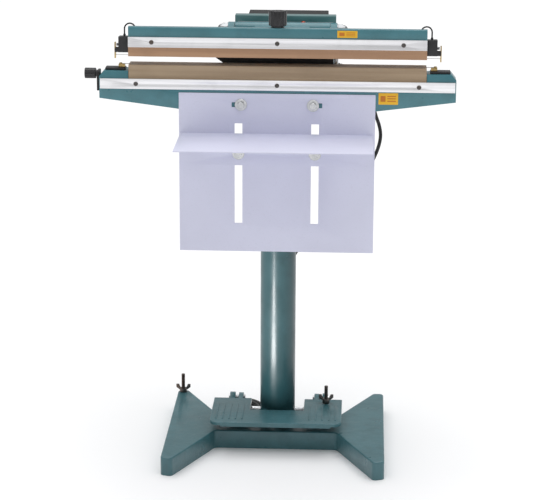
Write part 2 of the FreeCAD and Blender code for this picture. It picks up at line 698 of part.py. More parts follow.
def small_head_parts():
    """Stop post, return spring and limit switch between the two arms."""
    bar("post_radius", ("post_x", "post_y", "neck_top - 12"), "arm_plate_bottom - neck_top + 11.4",
        label="stop_post")
    coil = bar("16", ("0", "0", "neck_top"), "arm_plate_bottom - neck_top + 8.5")
    core = bar("12.5", ("0", "0", "neck_top - 1"), "arm_plate_bottom - neck_top + 11")
    cut("return_spring", coil, [core])
    case = block(("14", "38", "neck_top"), ("30", "68", "neck_top + 19"))
    bar_hole = bar("1.8", ("13", "44", "neck_top + 15.5"), "18", "X")
    lug = block(("17", "39.5", "neck_top + 18"), ("18.8", "48.5", "neck_top + 32"))
    second_lug = block(("25.2", "39.5", "neck_top + 18"), ("27", "48.5", "neck_top + 32"))
    pin = bar("1.5", ("16", "44", "neck_top + 28"), "12", "X")
    cut("limit_switch", fused("limit_switch_solid", [case, lug, second_lug, pin]), [bar_hole])
    blade = block(("19.2", "45", "neck_top + 28"), ("24.8", "80", "neck_top + 29"))
    eye = bar("2.8", ("19.2", "44", "neck_top + 28"), "5.6", "X")
    eye_bore = bar("1.55", ("18", "44", "neck_top + 28"), "8", "X")
    cut("limit_switch_lever", fused("lever_solid", [blade, eye]), [eye_bore])


def hinge_parts():
    """Arm hinge shaft with a washer and a domed nut at each end."""
    bar("hinge_shaft_radius", ("-hinge_half_length + 10", "hinge_y", "hinge_z"),
        "2 * hinge_half_length - 20", "X", "hinge_shaft")
    nuts = []
    for side in (1, -1):
        seat = "neck_half_width" if side > 0 else "-neck_half_width - 2"
        washer = bar("13", (seat, "hinge_y", "hinge_z"), "2", "X")
        start = "neck_half_width + 2" if side > 0 else "-neck_half_width - 13"
        nut = hexagon("12.5", (start, "hinge_y", "hinge_z"), "11", "X")
        round_end = dome("10.5", (f"{side} * (neck_half_width + 13)", "hinge_y", "hinge_z"))
        bore_start = seat if side > 0 else "-hinge_half_length + 10"
        bore = bar("hinge_shaft_radius", (bore_start, "hinge_y", "hinge_z"),
                   "hinge_half_length - 10 - neck_half_width", "X")
        nuts.append(cut("dome_nut", fused("dome_nut_solid", [washer, nut, round_end]), [bore]))
    group("hinge_dome_nuts", nuts)


# ---------------------------------------------------------------- control box

def control_box():
    """Sheet-metal front housing, open at the back, with its front panel cut-outs."""
    left = "box_middle_x - box_half_width"
    right = "box_middle_x + box_half_width"
    back = "box_front + box_depth"
    shell = block((left, "box_front", "neck_top"), (right, back, "box_top"))
    room = block((f"{left} + sheet", "box_front + sheet", "neck_top + sheet"),
                 (f"{right} - sheet", f"{back} + 1", "box_top - sheet"))
    holes = [bar("4.2", ("timer_x", "box_front - 1", "timer_z"), "4", "Y"),
             bar("5.1", ("lamp_x", "box_front - 1", "lamp_z"), "4", "Y"),
             block(("switch_x - 6.6", "box_front - 1", "switch_z - 9.6"),
                   ("switch_x + 6.6", "box_front + 3", "switch_z + 9.6"))]
    cut("control_box", shell, [room] + holes)


def front_panel_parts():
    """Legend plate, pilot lamp, rocker switch and timer knob on the control box."""
    face = "box_front"
    label_plate = block(("box_middle_x - box_half_width + 6", f"{face} - 0.8", "neck_top + 42"),
                        ("box_middle_x + box_half_width - 6", face, "box_top - 13"))
    openings = [bar("4.2", ("timer_x", f"{face} - 2", "timer_z"), "4", "Y"),
                bar("5.1", ("lamp_x", f"{face} - 2", "lamp_z"), "4", "Y"),
                block(("switch_x - 6.6", f"{face} - 2", "switch_z - 9.6"),
                      ("switch_x + 6.6", f"{face} + 1", "switch_z + 9.6"))]
    cut("legend_plate", label_plate, openings)
    lens = bar("6", ("lamp_x", f"{face} - 5.8", "lamp_z"), "5", "Y")
    barrel = bar("5", ("lamp_x", f"{face} - 0.8", "lamp_z"), "16", "Y")
    fused("pilot_lamp", [lens, barrel])
    bezel = block(("switch_x - 7.6", f"{face} - 2.3", "switch_z - 10.6"),
                  ("switch_x + 7.6", f"{face} - 0.8", "switch_z + 10.6"))
    well = block(("switch_x - 6.4", f"{face} - 0.8", "switch_z - 9.4"),
                 ("switch_x + 6.4", f"{face} + 14", "switch_z + 9.4"))
    room = block(("switch_x - 5.6", f"{face} - 3", "switch_z - 8.6"),
                 ("switch_x + 5.6", f"{face} + 8", "switch_z + 8.6"))
    pivot = bar("1", ("switch_x - 6", f"{face} + 2.5", "switch_z"), "12", "X")
    fused("switch_frame", [cut("switch_case", fused("switch_case_solid", [bezel, well]), [room]), pivot])
    rocker = bar("7.4", ("switch_x - 5.2", f"{face} + 2.5", "switch_z"), "10.4", "X")
    trim = block(("switch_x - 6", f"{face} + 2.5 + 1.5", "switch_z - 8"),
                 ("switch_x + 6", f"{face} + 12", "switch_z + 8"))
    pivot_bore = bar("1.05", ("switch_x - 6", f"{face} + 2.5", "switch_z"), "12", "X")
    key = cut("power_rocker", rocker, [trim, pivot_bore])
    middle = FreeCAD.Vector(value("switch_x"), value(f"{face} + 2.5"), value("switch_z"))
    key.Placement = FreeCAD.Placement(FreeCAD.Vector(), FreeCAD.Rotation(FreeCAD.Vector(1, 0, 0), -8), middle)
    skirt = taper("15", "13.5", ("timer_x", f"{face} - 1.4", "timer_z"), "8.4", "Y")
    skirt.Placement = FreeCAD.Placement(FreeCAD.Vector(), FreeCAD.Rotation(FreeCAD.Vector(1, 0, 0), 90))
    shaft = bar("4", ("timer_x", f"{face} - 2", "timer_z"), "16", "Y")
    fused("timer_knob", [skirt, shaft])


def rear_cover():
    """Black sheet cover of the transformer, its top bent down towards the back."""
    front = "box_front + box_depth"
    left = "cover_middle_x - cover_half_width"
    body = new_body("rear_cover")
    profile = [(front, "neck_top"), (f"{front} + cover_depth", "neck_top"),
               (f"{front} + cover_depth", "cover_rear_top"),
               (f"{front} + cover_flat", "box_top"), (front, "box_top")]
    side = new_sketch(body, "YZ_Plane", left)
    outline(side, profile)
    pad(body, side, "2 * cover_half_width")
    inside = new_sketch(body, "YZ_Plane", f"{left} + sheet")
    outline(inside, [(f"{front} - 1", "neck_top - 1"), (f"{front} + cover_depth - sheet", "neck_top - 1"),
                     (f"{front} + cover_depth - sheet", "cover_rear_top - sheet"),
                     (f"{front} + cover_flat", "box_top - sheet"), (f"{front} - 1", "box_top - sheet")])
    pocket(body, inside, "2 * (cover_half_width - sheet)", backwards=True)
    vents = new_sketch(body, "XZ_Plane", f"-({front}) - cover_depth - 1")
    for number in range(6):
        height = f"neck_top + 14 + {number} * 9"
        rectangle(vents, "cover_middle_x - 55", "cover_middle_x + 55", height, f"{height} + 4")
    pocket(body, vents, "6", backwards=True)


def transformer():
    """Laminated core with its winding, on the head casting inside the rear cover."""
    low_y = "box_front + box_depth + 12"
    core = block(("cover_middle_x - 42", low_y, "neck_top"),
                 ("cover_middle_x + 42", f"{low_y} + 34", "neck_top + 72"))
    winding = block(("cover_middle_x - 24", f"{low_y} - 11", "neck_top + 14"),
                    ("cover_middle_x + 24", f"{low_y} + 45", "neck_top + 58"))
    window = block(("cover_middle_x - 28", f"{low_y} - 1", "neck_top + 14"),
                   ("cover_middle_x + 28", f"{low_y} + 35", "neck_top + 58"))
    limb = block(("cover_middle_x - 14", low_y, "neck_top + 13"),
                 ("cover_middle_x + 14", f"{low_y} + 34", "neck_top + 59"))
    fused("transformer", [cut("core", core, [window]), winding, limb])


# ---------------------------------------------------------------- work table

def work_table():
    """Flat hanging plate with two level and two upright slots."""
    body = new_body("table_plate")
    face = "jaw_face - table_sheet"
    sketch = new_sketch(body, "XZ_Plane", "-jaw_face")
    rectangle(sketch, "-table_half_width", "table_half_width", "table_bottom", "table_top")
    pad(body, sketch, "table_sheet")
    slots = new_sketch(body, "XZ_Plane", f"-({face})")
    for side in (1, -1):
        low_x, high_x = span(side, "table_bolt_x - table_slot_inner", "table_bolt_x + table_slot_outer")
        rectangle(slots, low_x, high_x, "table_bolt_z - table_slot_width / 2",
                  "table_bolt_z + table_slot_width / 2")
        upright_slot = f"{side} * shelf_slot_x"
        rectangle(slots, f"{upright_slot} - shelf_slot_width / 2", f"{upright_slot} + shelf_slot_width / 2",
                  "shelf_slot_bottom", "shelf_slot_top")
    pocket(body, slots)


def shelf():
    """Sheet bent once: a level shelf and a flange that hangs over the plate's front."""
    front = "jaw_face - table_sheet"
    corners = [(front, "shelf_top - shelf_flange"), (front, "shelf_top"),
               (f"{front} - shelf_reach", "shelf_top"),
               (f"{front} - shelf_reach", "shelf_top - table_sheet"),
               (f"{front} - table_sheet", "shelf_top - table_sheet"),
               (f"{front} - table_sheet", "shelf_top - shelf_flange")]
    body = plate("shelf", "YZ_Plane", "-shelf_half_width", corners, "2 * shelf_half_width")
    holes = new_sketch(body, "XZ_Plane", f"-({front}) + table_sheet")
    for side in (1, -1):
        circle(holes, f"{side} * shelf_slot_x", "shelf_bolt_z", "bolt_radius + running_clearance")
    pocket(body, holes, "table_sheet + 1")


def bolt_and_washer(across, height, face, depth):
    """Hexagon bolt with its washer, head towards the operator."""
    washer = bar("washer_radius", (across, f"({face}) - washer_thickness", height), "washer_thickness", "Y")
    head = hexagon("bolt_head_radius", (across, f"({face}) - washer_thickness - bolt_head_height", height),
                   "bolt_head_height", "Y")
    stem = bar("bolt_radius", (across, face, height), depth, "Y")
    return fused("bolt", [washer, head, stem])


def table_fasteners():
    face = "jaw_face - table_sheet"
    group("table_bolts", [bolt_and_washer(f"{side} * table_bolt_x", "table_bolt_z", face,
                                          "table_sheet + casting_wall + 4") for side in (-1, 1)])
    pieces = []
    for side in (-1, 1):
        across = f"{side} * shelf_slot_x"
        bolt = bolt_and_washer(across, "shelf_bolt_z", f"{face} - table_sheet", "2 * table_sheet + 12")
        washer = bar("washer_radius", (across, "jaw_face", "shelf_bolt_z"), "washer_thickness", "Y")
        nut = hexagon("bolt_head_radius", (across, "jaw_face + washer_thickness", "shelf_bolt_z"), "6.5", "Y")
        pieces.append(fused("bolt_with_nut", [bolt, washer, nut]))
    group("shelf_bolts", pieces)


# ---------------------------------------------------------------- moving arm, drawn closed

def upper_arm():
    """Casting of the sealing arm: front beam, tapering plate with two ribs and the hinge barrel."""
    body = new_body("upper_arm")
    beam = new_sketch(body, "YZ_Plane", "-jaw_half_length")
    web_back = "jaw_face + beam_web"
    outline(beam, [
        ("jaw_face", "beam_seat"), ("jaw_face + jaw_depth + 1", "beam_seat"),
        ("jaw_face + jaw_depth + 1", "beam_seat + 10"), (f"{web_back} + 4", "beam_seat + 14"),
        (web_back, "beam_top - 6"), (web_back, "beam_top"), ("jaw_face", "beam_top"),
    ])
    pad(body, beam, "2 * jaw_half_length")
    fillet(body, "3", lambda edge: edge.BoundBox.XLength > 500
           and edge.BoundBox.ZMin > value("beam_top") - 0.1)
    plan = new_sketch(body, "XY_Plane", "arm_plate_bottom")
    right = [("132", web_back), ("132", "-34"), ("64", "0"), ("58", "hinge_y - 6")]
    outline(plan, right + [(mirror(across), up) for across, up in reversed(right)])
    pad(body, plan, "arm_plate_top - arm_plate_bottom")
    ribs = new_sketch(body, "XY_Plane", "arm_plate_bottom - 10")
    for side in (1, -1):
        inner = f"{side} * 44"
        outer = f"{side} * 52"
        low_x, high_x = (inner, outer) if side > 0 else (outer, inner)
        rectangle(ribs, low_x, high_x, "-50", "hinge_y - 6")
    pad(body, ribs, "12")
    barrel = new_sketch(body, "YZ_Plane", "-hinge_lug_inner + 1")
    circle(barrel, "hinge_y", "hinge_z", "15")
    pad(body, barrel, "2 * hinge_lug_inner - 2")
    seat = new_sketch(body, "XY_Plane", "beam_seat + 8")
    circle(seat, "0", "knob_y", "15")
    pad(body, seat, "beam_top - beam_seat - 8")
    drill_upper_arm(body)
    return body


def drill_upper_arm(body):
    shaft = new_sketch(body, "YZ_Plane", "hinge_lug_inner")
    circle(shaft, "hinge_y", "hinge_z", "hinge_shaft_radius + running_clearance")
    pocket(body, shaft, "2 * hinge_lug_inner")
    eye_room = new_sketch(body, "XY_Plane", "arm_plate_bottom - 1")
    rectangle(eye_room, "-9", "9", "-15", "15")
    pocket(body, eye_room, "arm_plate_top - arm_plate_bottom + 2", backwards=True)
    pin = new_sketch(body, "YZ_Plane", "67")
    circle(pin, "0", "hinge_z", "link_pin_radius")
    pocket(body, pin, "134")
    knob_stud = new_sketch(body, "XY_Plane", "beam_top - 24")
    circle(knob_stud, "0", "knob_y", "4 + running_clearance")
    pocket(body, knob_stud, "25", backwards=True)


def upper_jaw():
    """Bar, ribbon, cloth and clamp strip of the moving jaw."""
    seal = "seal_line + closed_gap"
    rear = "jaw_face + jaw_depth"
    bar_bottom = f"{seal} + cloth + ribbon + 0.2"
    jaw_bar = block(("-jaw_half_length", "jaw_face", bar_bottom), ("jaw_half_length", rear, "beam_seat"),
                    "upper_jaw_bar")
    ribbon_low = ("-ribbon_reach", "jaw_face + jaw_depth / 2 - ribbon_width / 2", f"{bar_bottom} - ribbon")
    ribbon_high = ("ribbon_reach", "jaw_face + jaw_depth / 2 + ribbon_width / 2", bar_bottom)
    ribbon = block(ribbon_low, ribbon_high, "upper_heating_ribbon")
    cloth = jaw_cloth("upper_sealing_cloth", seal, "upper_strip_middle + cloth_below_screw", -1,
                      "upper_screw_pitch")
    strip, screws = clamp_strip("upper_clamp_strip", "jaw_half_length", "upper_strip_middle",
                                "upper_screw_pitch", "upper_strip_screws")
    return [jaw_bar, ribbon, cloth, strip, screws]


def upper_terminals():
    """Insulating blocks at the arm's ends, the sprung electrode levers on them and their leads."""
    made = []
    blocks = []
    springs = []
    leads = []
    middle = "jaw_face + jaw_depth / 2"
    for side, name in ((-1, "left"), (1, "right")):
        near = f"{side} * jaw_half_length"
        far = f"{side} * (jaw_half_length + 21)"
        low_x, high_x = (near, far) if side > 0 else (far, near)
        body_block = block((low_x, f"{middle} - 13", "seal_line + 8"),
                           (high_x, f"{middle} + 13", "block_top"))
        pin = bar("2", (f"{side} * (jaw_half_length + 26)", f"{middle} - 9", "electrode_z"), "18", "Y")
        ear_near = f"{side} * (jaw_half_length + 20)"
        ear_far = f"{side} * (jaw_half_length + 29)"
        low_ear, high_ear = (ear_near, ear_far) if side > 0 else (ear_far, ear_near)
        ears = [block((low_ear, f"{middle} + {start}", "electrode_z - 4"),
                      (high_ear, f"{middle} + {start + 3}", "electrode_z + 5")) for start in (-9, 6)]
        blocks.append(fused("terminal_block", [body_block, pin] + ears))
        made.append(electrode(name, side, middle))
        coil_start = f"{side} * (jaw_half_length + 21) + {min(side, 0)} * 5.2"
        springs.append(cut("tension_spring", bar("3", (coil_start, middle, "electrode_z + 11"), "5.2", "X"),
                           [bar("1.8", (coil_start, middle, "electrode_z + 11"), "5.2", "X")]))
        leads.append(electrode_lead(side, middle))
    made.append(group("upper_terminal_blocks", blocks))
    made.append(group("electrode_springs", springs))
    made.append(group("upper_leads", leads))
    return made


def electrode(name, side, middle):
    """Brass lever on the end block; its lower tip pulls the ribbon tight."""
    pivot_x = f"{side} * (jaw_half_length + 26)"
    low_x = f"{side} * (jaw_half_length + 27.5) + {min(side, 0)} * 2.5"
    blade = block((low_x, f"{middle} - 5.6", "electrode_z - 17"),
                  (f"({low_x}) + 2.5", f"{middle} + 5.6", "electrode_z + 16"))
    eye = bar("4.2", (pivot_x, f"{middle} - 5.6", "electrode_z"), "11.2", "Y")
    bore = bar("2.05", (pivot_x, f"{middle} - 7", "electrode_z"), "14", "Y")
    return cut(f"{name}_electrode", fused("electrode_solid", [blade, eye]), [bore])


def electrode_lead(side, middle):
    """Insulated lead that arches from the arm's top over its end down into the terminal block."""
    start = FreeCAD.Vector(side * value("jaw_half_length - 12"), value(f"{middle} + 4"),
                           value("beam_seat + lead_rise"))
    reach = value("jaw_half_length + 10")
    top = start.z + value("lead_arch")
    end = FreeCAD.Vector(side * reach, start.y, value("block_top"))
    crown = FreeCAD.Vector((start.x + end.x) / 2, start.y, top)
    shoulder = crown.z - (abs(end.x - start.x) / 2)
    rise = Part.LineSegment(start, FreeCAD.Vector(start.x, start.y, shoulder)).toShape()
    arch = Part.Arc(FreeCAD.Vector(start.x, start.y, shoulder), crown,
                    FreeCAD.Vector(end.x, start.y, shoulder)).toShape()
    drop = Part.LineSegment(FreeCAD.Vector(end.x, start.y, shoulder), end).toShape()
    path = Part.Wire([rise, arch, drop])
    ring = Part.Wire([Part.Circle(start, FreeCAD.Vector(0, 0, 1), 1.6).toShape()])
    lead = doc.addObject("Part::Feature", "lead")
    lead.Shape = path.makePipeShell([ring], True, False)
    return lead


def arm_extras():
    """Hand knob on top of the beam, link pin and the screw that trips the limit switch."""
    top = "beam_top + 0.4"
    grip = bar("knob_radius", ("0", "knob_y", f"{top} + 3"), "knob_height - 3")
    neck = bar("knob_radius - 5", ("0", "knob_y", top), "3")
    stud = bar("4", ("0", "knob_y", "beam_top - 20"), "21")
    knob = fused("arm_hand_knob", [grip, neck, stud])
    pin = bar("link_pin_radius", ("-62", "0", "hinge_z"), "124", "X", "arm_link_pin")
    stem = bar("3", ("22", "74", "neck_top + 24.6"), "arm_plate_bottom - neck_top - 24.6")
    nut = hexagon("6", ("22", "74", "arm_plate_bottom - 5"), "5")
    screw = fused("switch_trip_screw", [stem, nut])
    return [knob, pin, screw]


def open_arm(pieces):
    """Swing the arm's sub-parts up about the hinge to where the return spring holds them."""
    hinge = FreeCAD.Vector(0, value("hinge_y"), value("hinge_z"))
    swing = FreeCAD.Rotation(FreeCAD.Vector(1, 0, 0), -value("open_angle"))
    lifted = FreeCAD.Placement(FreeCAD.Vector(), swing, hinge)
    for piece in pieces:
        if piece.TypeId in ("Part::Box", "Part::Cylinder"):
            piece = group_of_one(piece)
        piece.Placement = lifted


def group_of_one(piece):
    """Holder that lets a primitive keep its bound position and still be swung as a whole."""
    label = piece.Label
    piece.Label = f"{label}_solid"
    holder = doc.addObject("Part::Compound", label)
    holder.Label = label
    holder.Links = [piece]
    return holder


# ---------------------------------------------------------------- mains lead

def mains_gland():
    """Gland nut and tapered relief on the right side of the head casting's neck."""
    side = "neck_half_width"
    flange = bar("11", (side, "gland_y", "gland_z"), "gland_length", "X")
    neck = bar("gland_neck_radius", (f"{side} - casting_wall - 4", "gland_y", "gland_z"),
               "casting_wall + 4", "X")
    relief = taper("gland_neck_radius", "lead_radius + 1.2", (f"{side} + gland_length", "gland_y", "gland_z"),
                   "relief_length", "X")
    fused("cord_gland", [flange, neck, relief])


LEAD_ROUTE = [
    (150, 225, 777), (168, 225, 776.5), (184.5, 225, 769.2), (196.8, 224.8, 756), (202.9, 224.5, 739),
    (201.8, 224, 717), (200, 223.3, 695), (204, 222, 673), (213, 220, 651), (217.5, 216, 627),
    (212, 206, 601), (199, 192, 574), (181, 176, 544), (157, 157, 513), (128, 136, 483), (95, 112, 453),
    (60, 84, 425), (29, 58, 393), (12, 48.5, 344), (6, 45.5, 295), (2, 46, 230), (3, 49, 164),
    (3, 57, 110), (6, 73, 70), (6, 94, 38), (0, 116, 17), (-14, 138, 8.5), (-38, 157, 5.2), (-64, 170, 4.6),
]
TAIL_ROUTE = [
    (-88, 84, 4.4), (-56, 83, 4.4), (-22, 84.5, 4.4), (12, 93, 6), (40, 103, 10.7), (66, 103, 10.7),
]


def rounded_path(spots):
    """Straight runs joined by tangent arcs, each as large as its two runs allow."""
    corners = [FreeCAD.Vector(*spot) for spot in spots]
    edges = []
    at = corners[0]
    for before, corner, after in zip(corners, corners[1:], corners[2:]):
        arriving = (corner - before).normalize()
        leaving = (after - corner).normalize()
        half_turn = arriving.getAngle(leaving) / 2
        shorter = min((corner - before).Length, (after - corner).Length)
        cut_back = 0.45 * shorter
        radius = cut_back / math.tan(half_turn)
        print(f"lead bend radius {radius:.1f} mm, turn {math.degrees(2 * half_turn):.0f} degrees")
        first = corner - arriving * cut_back
        last = corner + leaving * cut_back
        inward = (leaving - arriving).normalize()
        halfway = corner + inward * (radius / math.cos(half_turn) - radius)
        edges.append(Part.LineSegment(at, first).toShape())
        edges.append(Part.Arc(first, halfway, last).toShape())
        at = last
    edges.append(Part.LineSegment(at, corners[-1]).toShape())
    return Part.Wire(edges)


def lead_tube(label, route):
    """Round tube along one uncoiled stretch of the lead."""
    path = rounded_path(route)
    radius = value("lead_radius")
    start = FreeCAD.Vector(*route[0])
    heading = (FreeCAD.Vector(*route[1]) - start).normalize()
    ring = Part.Wire([Part.Circle(start, heading, radius).toShape()])
    tube = path.makePipeShell([ring], True, False)
    expected = math.pi * radius ** 2 * path.Length
    print(f"{label}: {path.Length:.0f} mm, volume {tube.Volume / expected:.4f} of section times length")
    lead = doc.addObject("Part::Feature", label)
    lead.Label = label
    lead.Shape = tube


def mains_lead():
    """Lead from the gland through the column's clip to the floor, its coil, its tail and its plug."""
    lead_tube("mains_lead", LEAD_ROUTE)
    lead_tube("mains_lead_tail", TAIL_ROUTE)
    outer = bar("coil_mean_radius + 2 * lead_radius", ("coil_x", "coil_y", "floor_gap"), "coil_height")
    inner = bar("coil_mean_radius - 2 * lead_radius", ("coil_x", "coil_y", "0"), "coil_height + 1")
    cut("mains_lead_coil", outer, [inner])
    middle_z = "floor_gap + plug_height / 2"
    relief = taper("lead_radius + 1", "8", ("plug_x", "plug_y", middle_z), "15", "X")
    shell = block(("plug_x + 14", "plug_y - plug_width / 2", "floor_gap"),
                  ("plug_x + 14 + plug_length", "plug_y + plug_width / 2", "floor_gap + plug_height"))
    pins = [bar("2.4", ("plug_x + 13 + plug_length", f"plug_y + {side} * 9.5", middle_z), "19", "X")
            for side in (1, -1)]
    fused("mains_plug", [relief, shell] + pins)
    clip = block(("-8", "column_radius - 8", "258"), ("16", "52.5", "270"))
    way = bar("lead_radius + 1.4", ("4", "45.75", "257"), "14")
    tube_face = bar("column_radius", ("0", "0", "257"), "14")
    cut("lead_clip", clip, [way, tube_face])


# ---------------------------------------------------------------- assembly

STAND = [
    "base_casting", "levelling_stud", "pedal_stop_stud", "pedal_pivot_pins", "column_tube", "lower_arm",
    "lower_jaw_bar", "lower_heating_ribbon", "lower_sealing_cloth", "lower_clamp_strip",
    "lower_strip_screws", "lower_terminal_blocks", "lower_terminals", "end_bracket", "stop_post",
    "neck_cover", "return_spring", "limit_switch", "hinge_shaft", "hinge_dome_nuts", "control_box",
    "legend_plate", "pilot_lamp", "switch_frame", "rear_cover", "transformer", "cord_gland", "mains_lead",
    "mains_lead_tail", "mains_lead_coil", "mains_plug", "lead_clip", "table_bolts",
]
MOVING = [
    "levelling_wing_nut", "pedal_wing_nut", "end_knob", "limit_switch_lever", "power_rocker", "timer_knob",
    "table_plate", "shelf", "shelf_bolts", "foot_pedal", "pedal_link_pin", "pull_rod", "upper_arm",
    "upper_jaw_bar", "upper_heating_ribbon", "upper_sealing_cloth", "upper_clamp_strip",
    "upper_strip_screws", "upper_terminal_blocks", "left_electrode", "right_electrode",
    "electrode_springs", "upper_leads", "arm_hand_knob", "arm_link_pin", "switch_trip_screw",
]


def build():
    fill_sheet()
    base_casting()
    column_tube()
    hand_studs()
    pedal_pivot_pins()
    foot_pedal()
    link_parts()
    lower_arm()
    lower_jaw()
    lower_terminals()
    end_clamp()
    neck_cover()
    small_head_parts()
    hinge_parts()
    control_box()
    front_panel_parts()
    rear_cover()
    transformer()
    work_table()
    shelf()
    table_fasteners()
    arm_pieces = [upper_arm()] + upper_jaw() + upper_terminals() + arm_extras()
    doc.recompute()
    open_arm(arm_pieces)
    mains_gland()
    mains_lead()
    doc.recompute()


def finished(label):
    """The one object that carries a sub-part's label, proved sound."""
    found = doc.getObjectsByLabel(label)
    if len(found) != 1:
        raise RuntimeError(f"{label}: {len(found)} objects have this label")
    shape = found[0].Shape
    if shape.isNull() or not shape.isValid() or not shape.Solids:
        raise RuntimeError(f"{label} has no sound shape")
    return shape


def export():
    failed = [thing.Label for thing in doc.Objects if {"Invalid", "Error"} & set(thing.State)]
    if failed:
        raise RuntimeError(f"objects that failed: {failed}")
    shapes = {label: finished(label) for label in STAND + MOVING}
    os.makedirs("parts", exist_ok=True)
    for label, shape in shapes.items():
        shape.exportStep(f"parts/{label}.step")
        print(f"{label}: {len(shape.Solids)} solids, {shape.Volume / 1000:.1f} cm3")


build()
export()
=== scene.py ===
"""Looks of the foot-operated impulse heat sealer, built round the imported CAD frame.

Metres, in the frame's own axes: +Z up, +X to the operator's right, +Y away from the operator.
The sealing arm stands open at rest.  Its pieces are shaped closed and then swung up with it.
"""

import json
import math

import bmesh
import bpy
from mathutils import Matrix, Vector
from mathutils import noise


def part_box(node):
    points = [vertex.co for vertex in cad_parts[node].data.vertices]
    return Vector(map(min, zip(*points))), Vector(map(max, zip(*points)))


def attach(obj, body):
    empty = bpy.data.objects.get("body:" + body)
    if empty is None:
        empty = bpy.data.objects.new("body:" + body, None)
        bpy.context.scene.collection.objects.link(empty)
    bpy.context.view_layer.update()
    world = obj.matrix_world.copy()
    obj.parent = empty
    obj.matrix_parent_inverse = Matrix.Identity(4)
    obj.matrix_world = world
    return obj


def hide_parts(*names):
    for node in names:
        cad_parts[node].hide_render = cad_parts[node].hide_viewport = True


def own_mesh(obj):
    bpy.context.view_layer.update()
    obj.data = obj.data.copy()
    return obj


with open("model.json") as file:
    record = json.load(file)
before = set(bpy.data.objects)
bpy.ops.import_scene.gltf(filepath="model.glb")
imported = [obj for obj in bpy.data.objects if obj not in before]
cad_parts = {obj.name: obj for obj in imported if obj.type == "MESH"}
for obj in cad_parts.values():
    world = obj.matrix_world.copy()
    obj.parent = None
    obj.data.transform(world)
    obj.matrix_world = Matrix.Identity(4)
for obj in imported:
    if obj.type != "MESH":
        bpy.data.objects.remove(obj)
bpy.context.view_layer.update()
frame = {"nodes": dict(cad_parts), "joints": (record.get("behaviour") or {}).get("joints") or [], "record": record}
MM = 0.001
NODES = frame["nodes"]
JOINTS = {joint["name"]: joint for joint in frame["joints"]}
PAINTS = {}


# ---------------- places read from the frame

def swing_of(joint):
    """Turn about a hinge's axis from its lower to its upper limit."""
    spot = Vector(joint["pos_m"])
    turn = Matrix.Rotation(math.radians(joint["range_deg"][1]), 4, Vector(joint["axis"]))
    return Matrix.Translation(spot) @ turn @ Matrix.Translation(-spot)


ARM_CLOSES = swing_of(JOINTS["arm_close"])
ARM_OPENS = ARM_CLOSES.inverted()


def closed_box(node):
    """Lowest and highest corners of an arm node with the arm closed."""
    spots = [ARM_CLOSES @ vertex.co for vertex in NODES[node].data.vertices]
    low = Vector(min(spot[axis] for spot in spots) for axis in range(3))
    high = Vector(max(spot[axis] for spot in spots) for axis in range(3))
    return low, high


def box_and_middle(node, swung=False):
    """Lowest and highest corners of a node and the point between them, with the arm closed."""
    low, high = closed_box(node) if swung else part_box(node)
    return low, high, (low + high) / 2


# ---------------- camera, floor and light

def make_camera():
    """Camera at the catalogue picture's angle: a little right of the middle and 15 degrees up."""
    aim = Vector((0, 0, 0.45))
    azimuth = math.radians(2.46)
    height = math.radians(15.29)
    distance = 4.32
    back = Vector((math.sin(azimuth) * math.cos(height), -math.cos(azimuth) * math.cos(height),
                   math.sin(height)))
    data = bpy.data.cameras.new("camera")
    data.sensor_width = 36
    data.lens = 132.6
    data.shift_x = -0.0091
    data.shift_y = -0.0245
    camera = bpy.data.objects.new("camera", data)
    bpy.context.scene.collection.objects.link(camera)
    roll = Matrix.Rotation(math.radians(0.3), 4, "Z")
    facing = back.to_track_quat("Z", "Y").to_matrix().to_4x4()
    camera.matrix_world = Matrix.Translation(aim + back * distance) @ facing @ roll
    bpy.context.scene.camera = camera


def area_light(name, spot, aim, size, power, tint=(1, 1, 1)):
    data = bpy.data.lights.new(name, "AREA")
    data.shape = "RECTANGLE"
    data.size, data.size_y = size
    data.energy = power
    data.color = tint
    light = bpy.data.objects.new(name, data)
    light.location = spot
    light.rotation_euler = (Vector(spot) - Vector(aim)).to_track_quat("Z", "Y").to_euler()
    bpy.context.scene.collection.objects.link(light)


def overhead_light():
    """Broad even light from above, so that the floor is equally pale everywhere."""
    data = bpy.data.lights.new("overhead", "SUN")
    data.energy = 2.2
    data.angle = math.radians(70)
    light = bpy.data.objects.new("overhead", data)
    light.rotation_euler = (math.radians(-8), 0, 0)
    bpy.context.scene.collection.objects.link(light)


def floor_strip():
    """Narrow light in front of the column, for the bright line down its enamel.  It lights nothing else."""
    bearing = math.radians(-25)
    outward = Vector((math.sin(bearing), -math.cos(bearing), 0))
    spot = outward * 0.95 + Vector((0, 0, 0.012))
    area_light("floor_strip", spot, spot - Vector((0, 0, -1)), (0.17, 1.3), 20)
    strip = bpy.data.objects["floor_strip"]
    strip.rotation_euler = (math.pi, 0, bearing)
    strip.visible_camera = False
    lit_pieces = bpy.data.collections.new("lit_by_floor_strip")
    lit_pieces.objects.link(bpy.data.objects["column_tube_finished"])
    strip.light_linking.receiver_collection = lit_pieces


def make_studio():
    """Wide pale floor, a bright surround and soft boxes, most of the light coming from above."""
    ground = bmesh.new()
    reach = 30
    corners = [(-reach, -reach, 0), (reach, -reach, 0), (reach, reach, 0), (-reach, reach, 0)]
    ground.faces.new([ground.verts.new(corner) for corner in corners])
    floor = piece_from("studio_floor", ground)
    floor.data.materials.append(plain_paint("floor_white", (0.94, 0.94, 0.945), 0.8))
    world = bpy.data.worlds.new("studio")
    world.use_nodes = True
    world.node_tree.nodes["Background"].inputs["Color"].default_value = (1, 1, 1, 1)
    world.node_tree.nodes["Background"].inputs["Strength"].default_value = 0.45
    bpy.context.scene.world = world
    area_light("front_box", (-0.5, -1.9, 1.9), (0, 0, 0.75), (0.9, 0.9), 4)
    area_light("fill", (2.2, -1.6, 2.8), (0, 0, 0.6), (1.4, 1.4), 5)
    overhead_light()
    floor_strip()
    bpy.context.scene.view_settings.view_transform = "Standard"


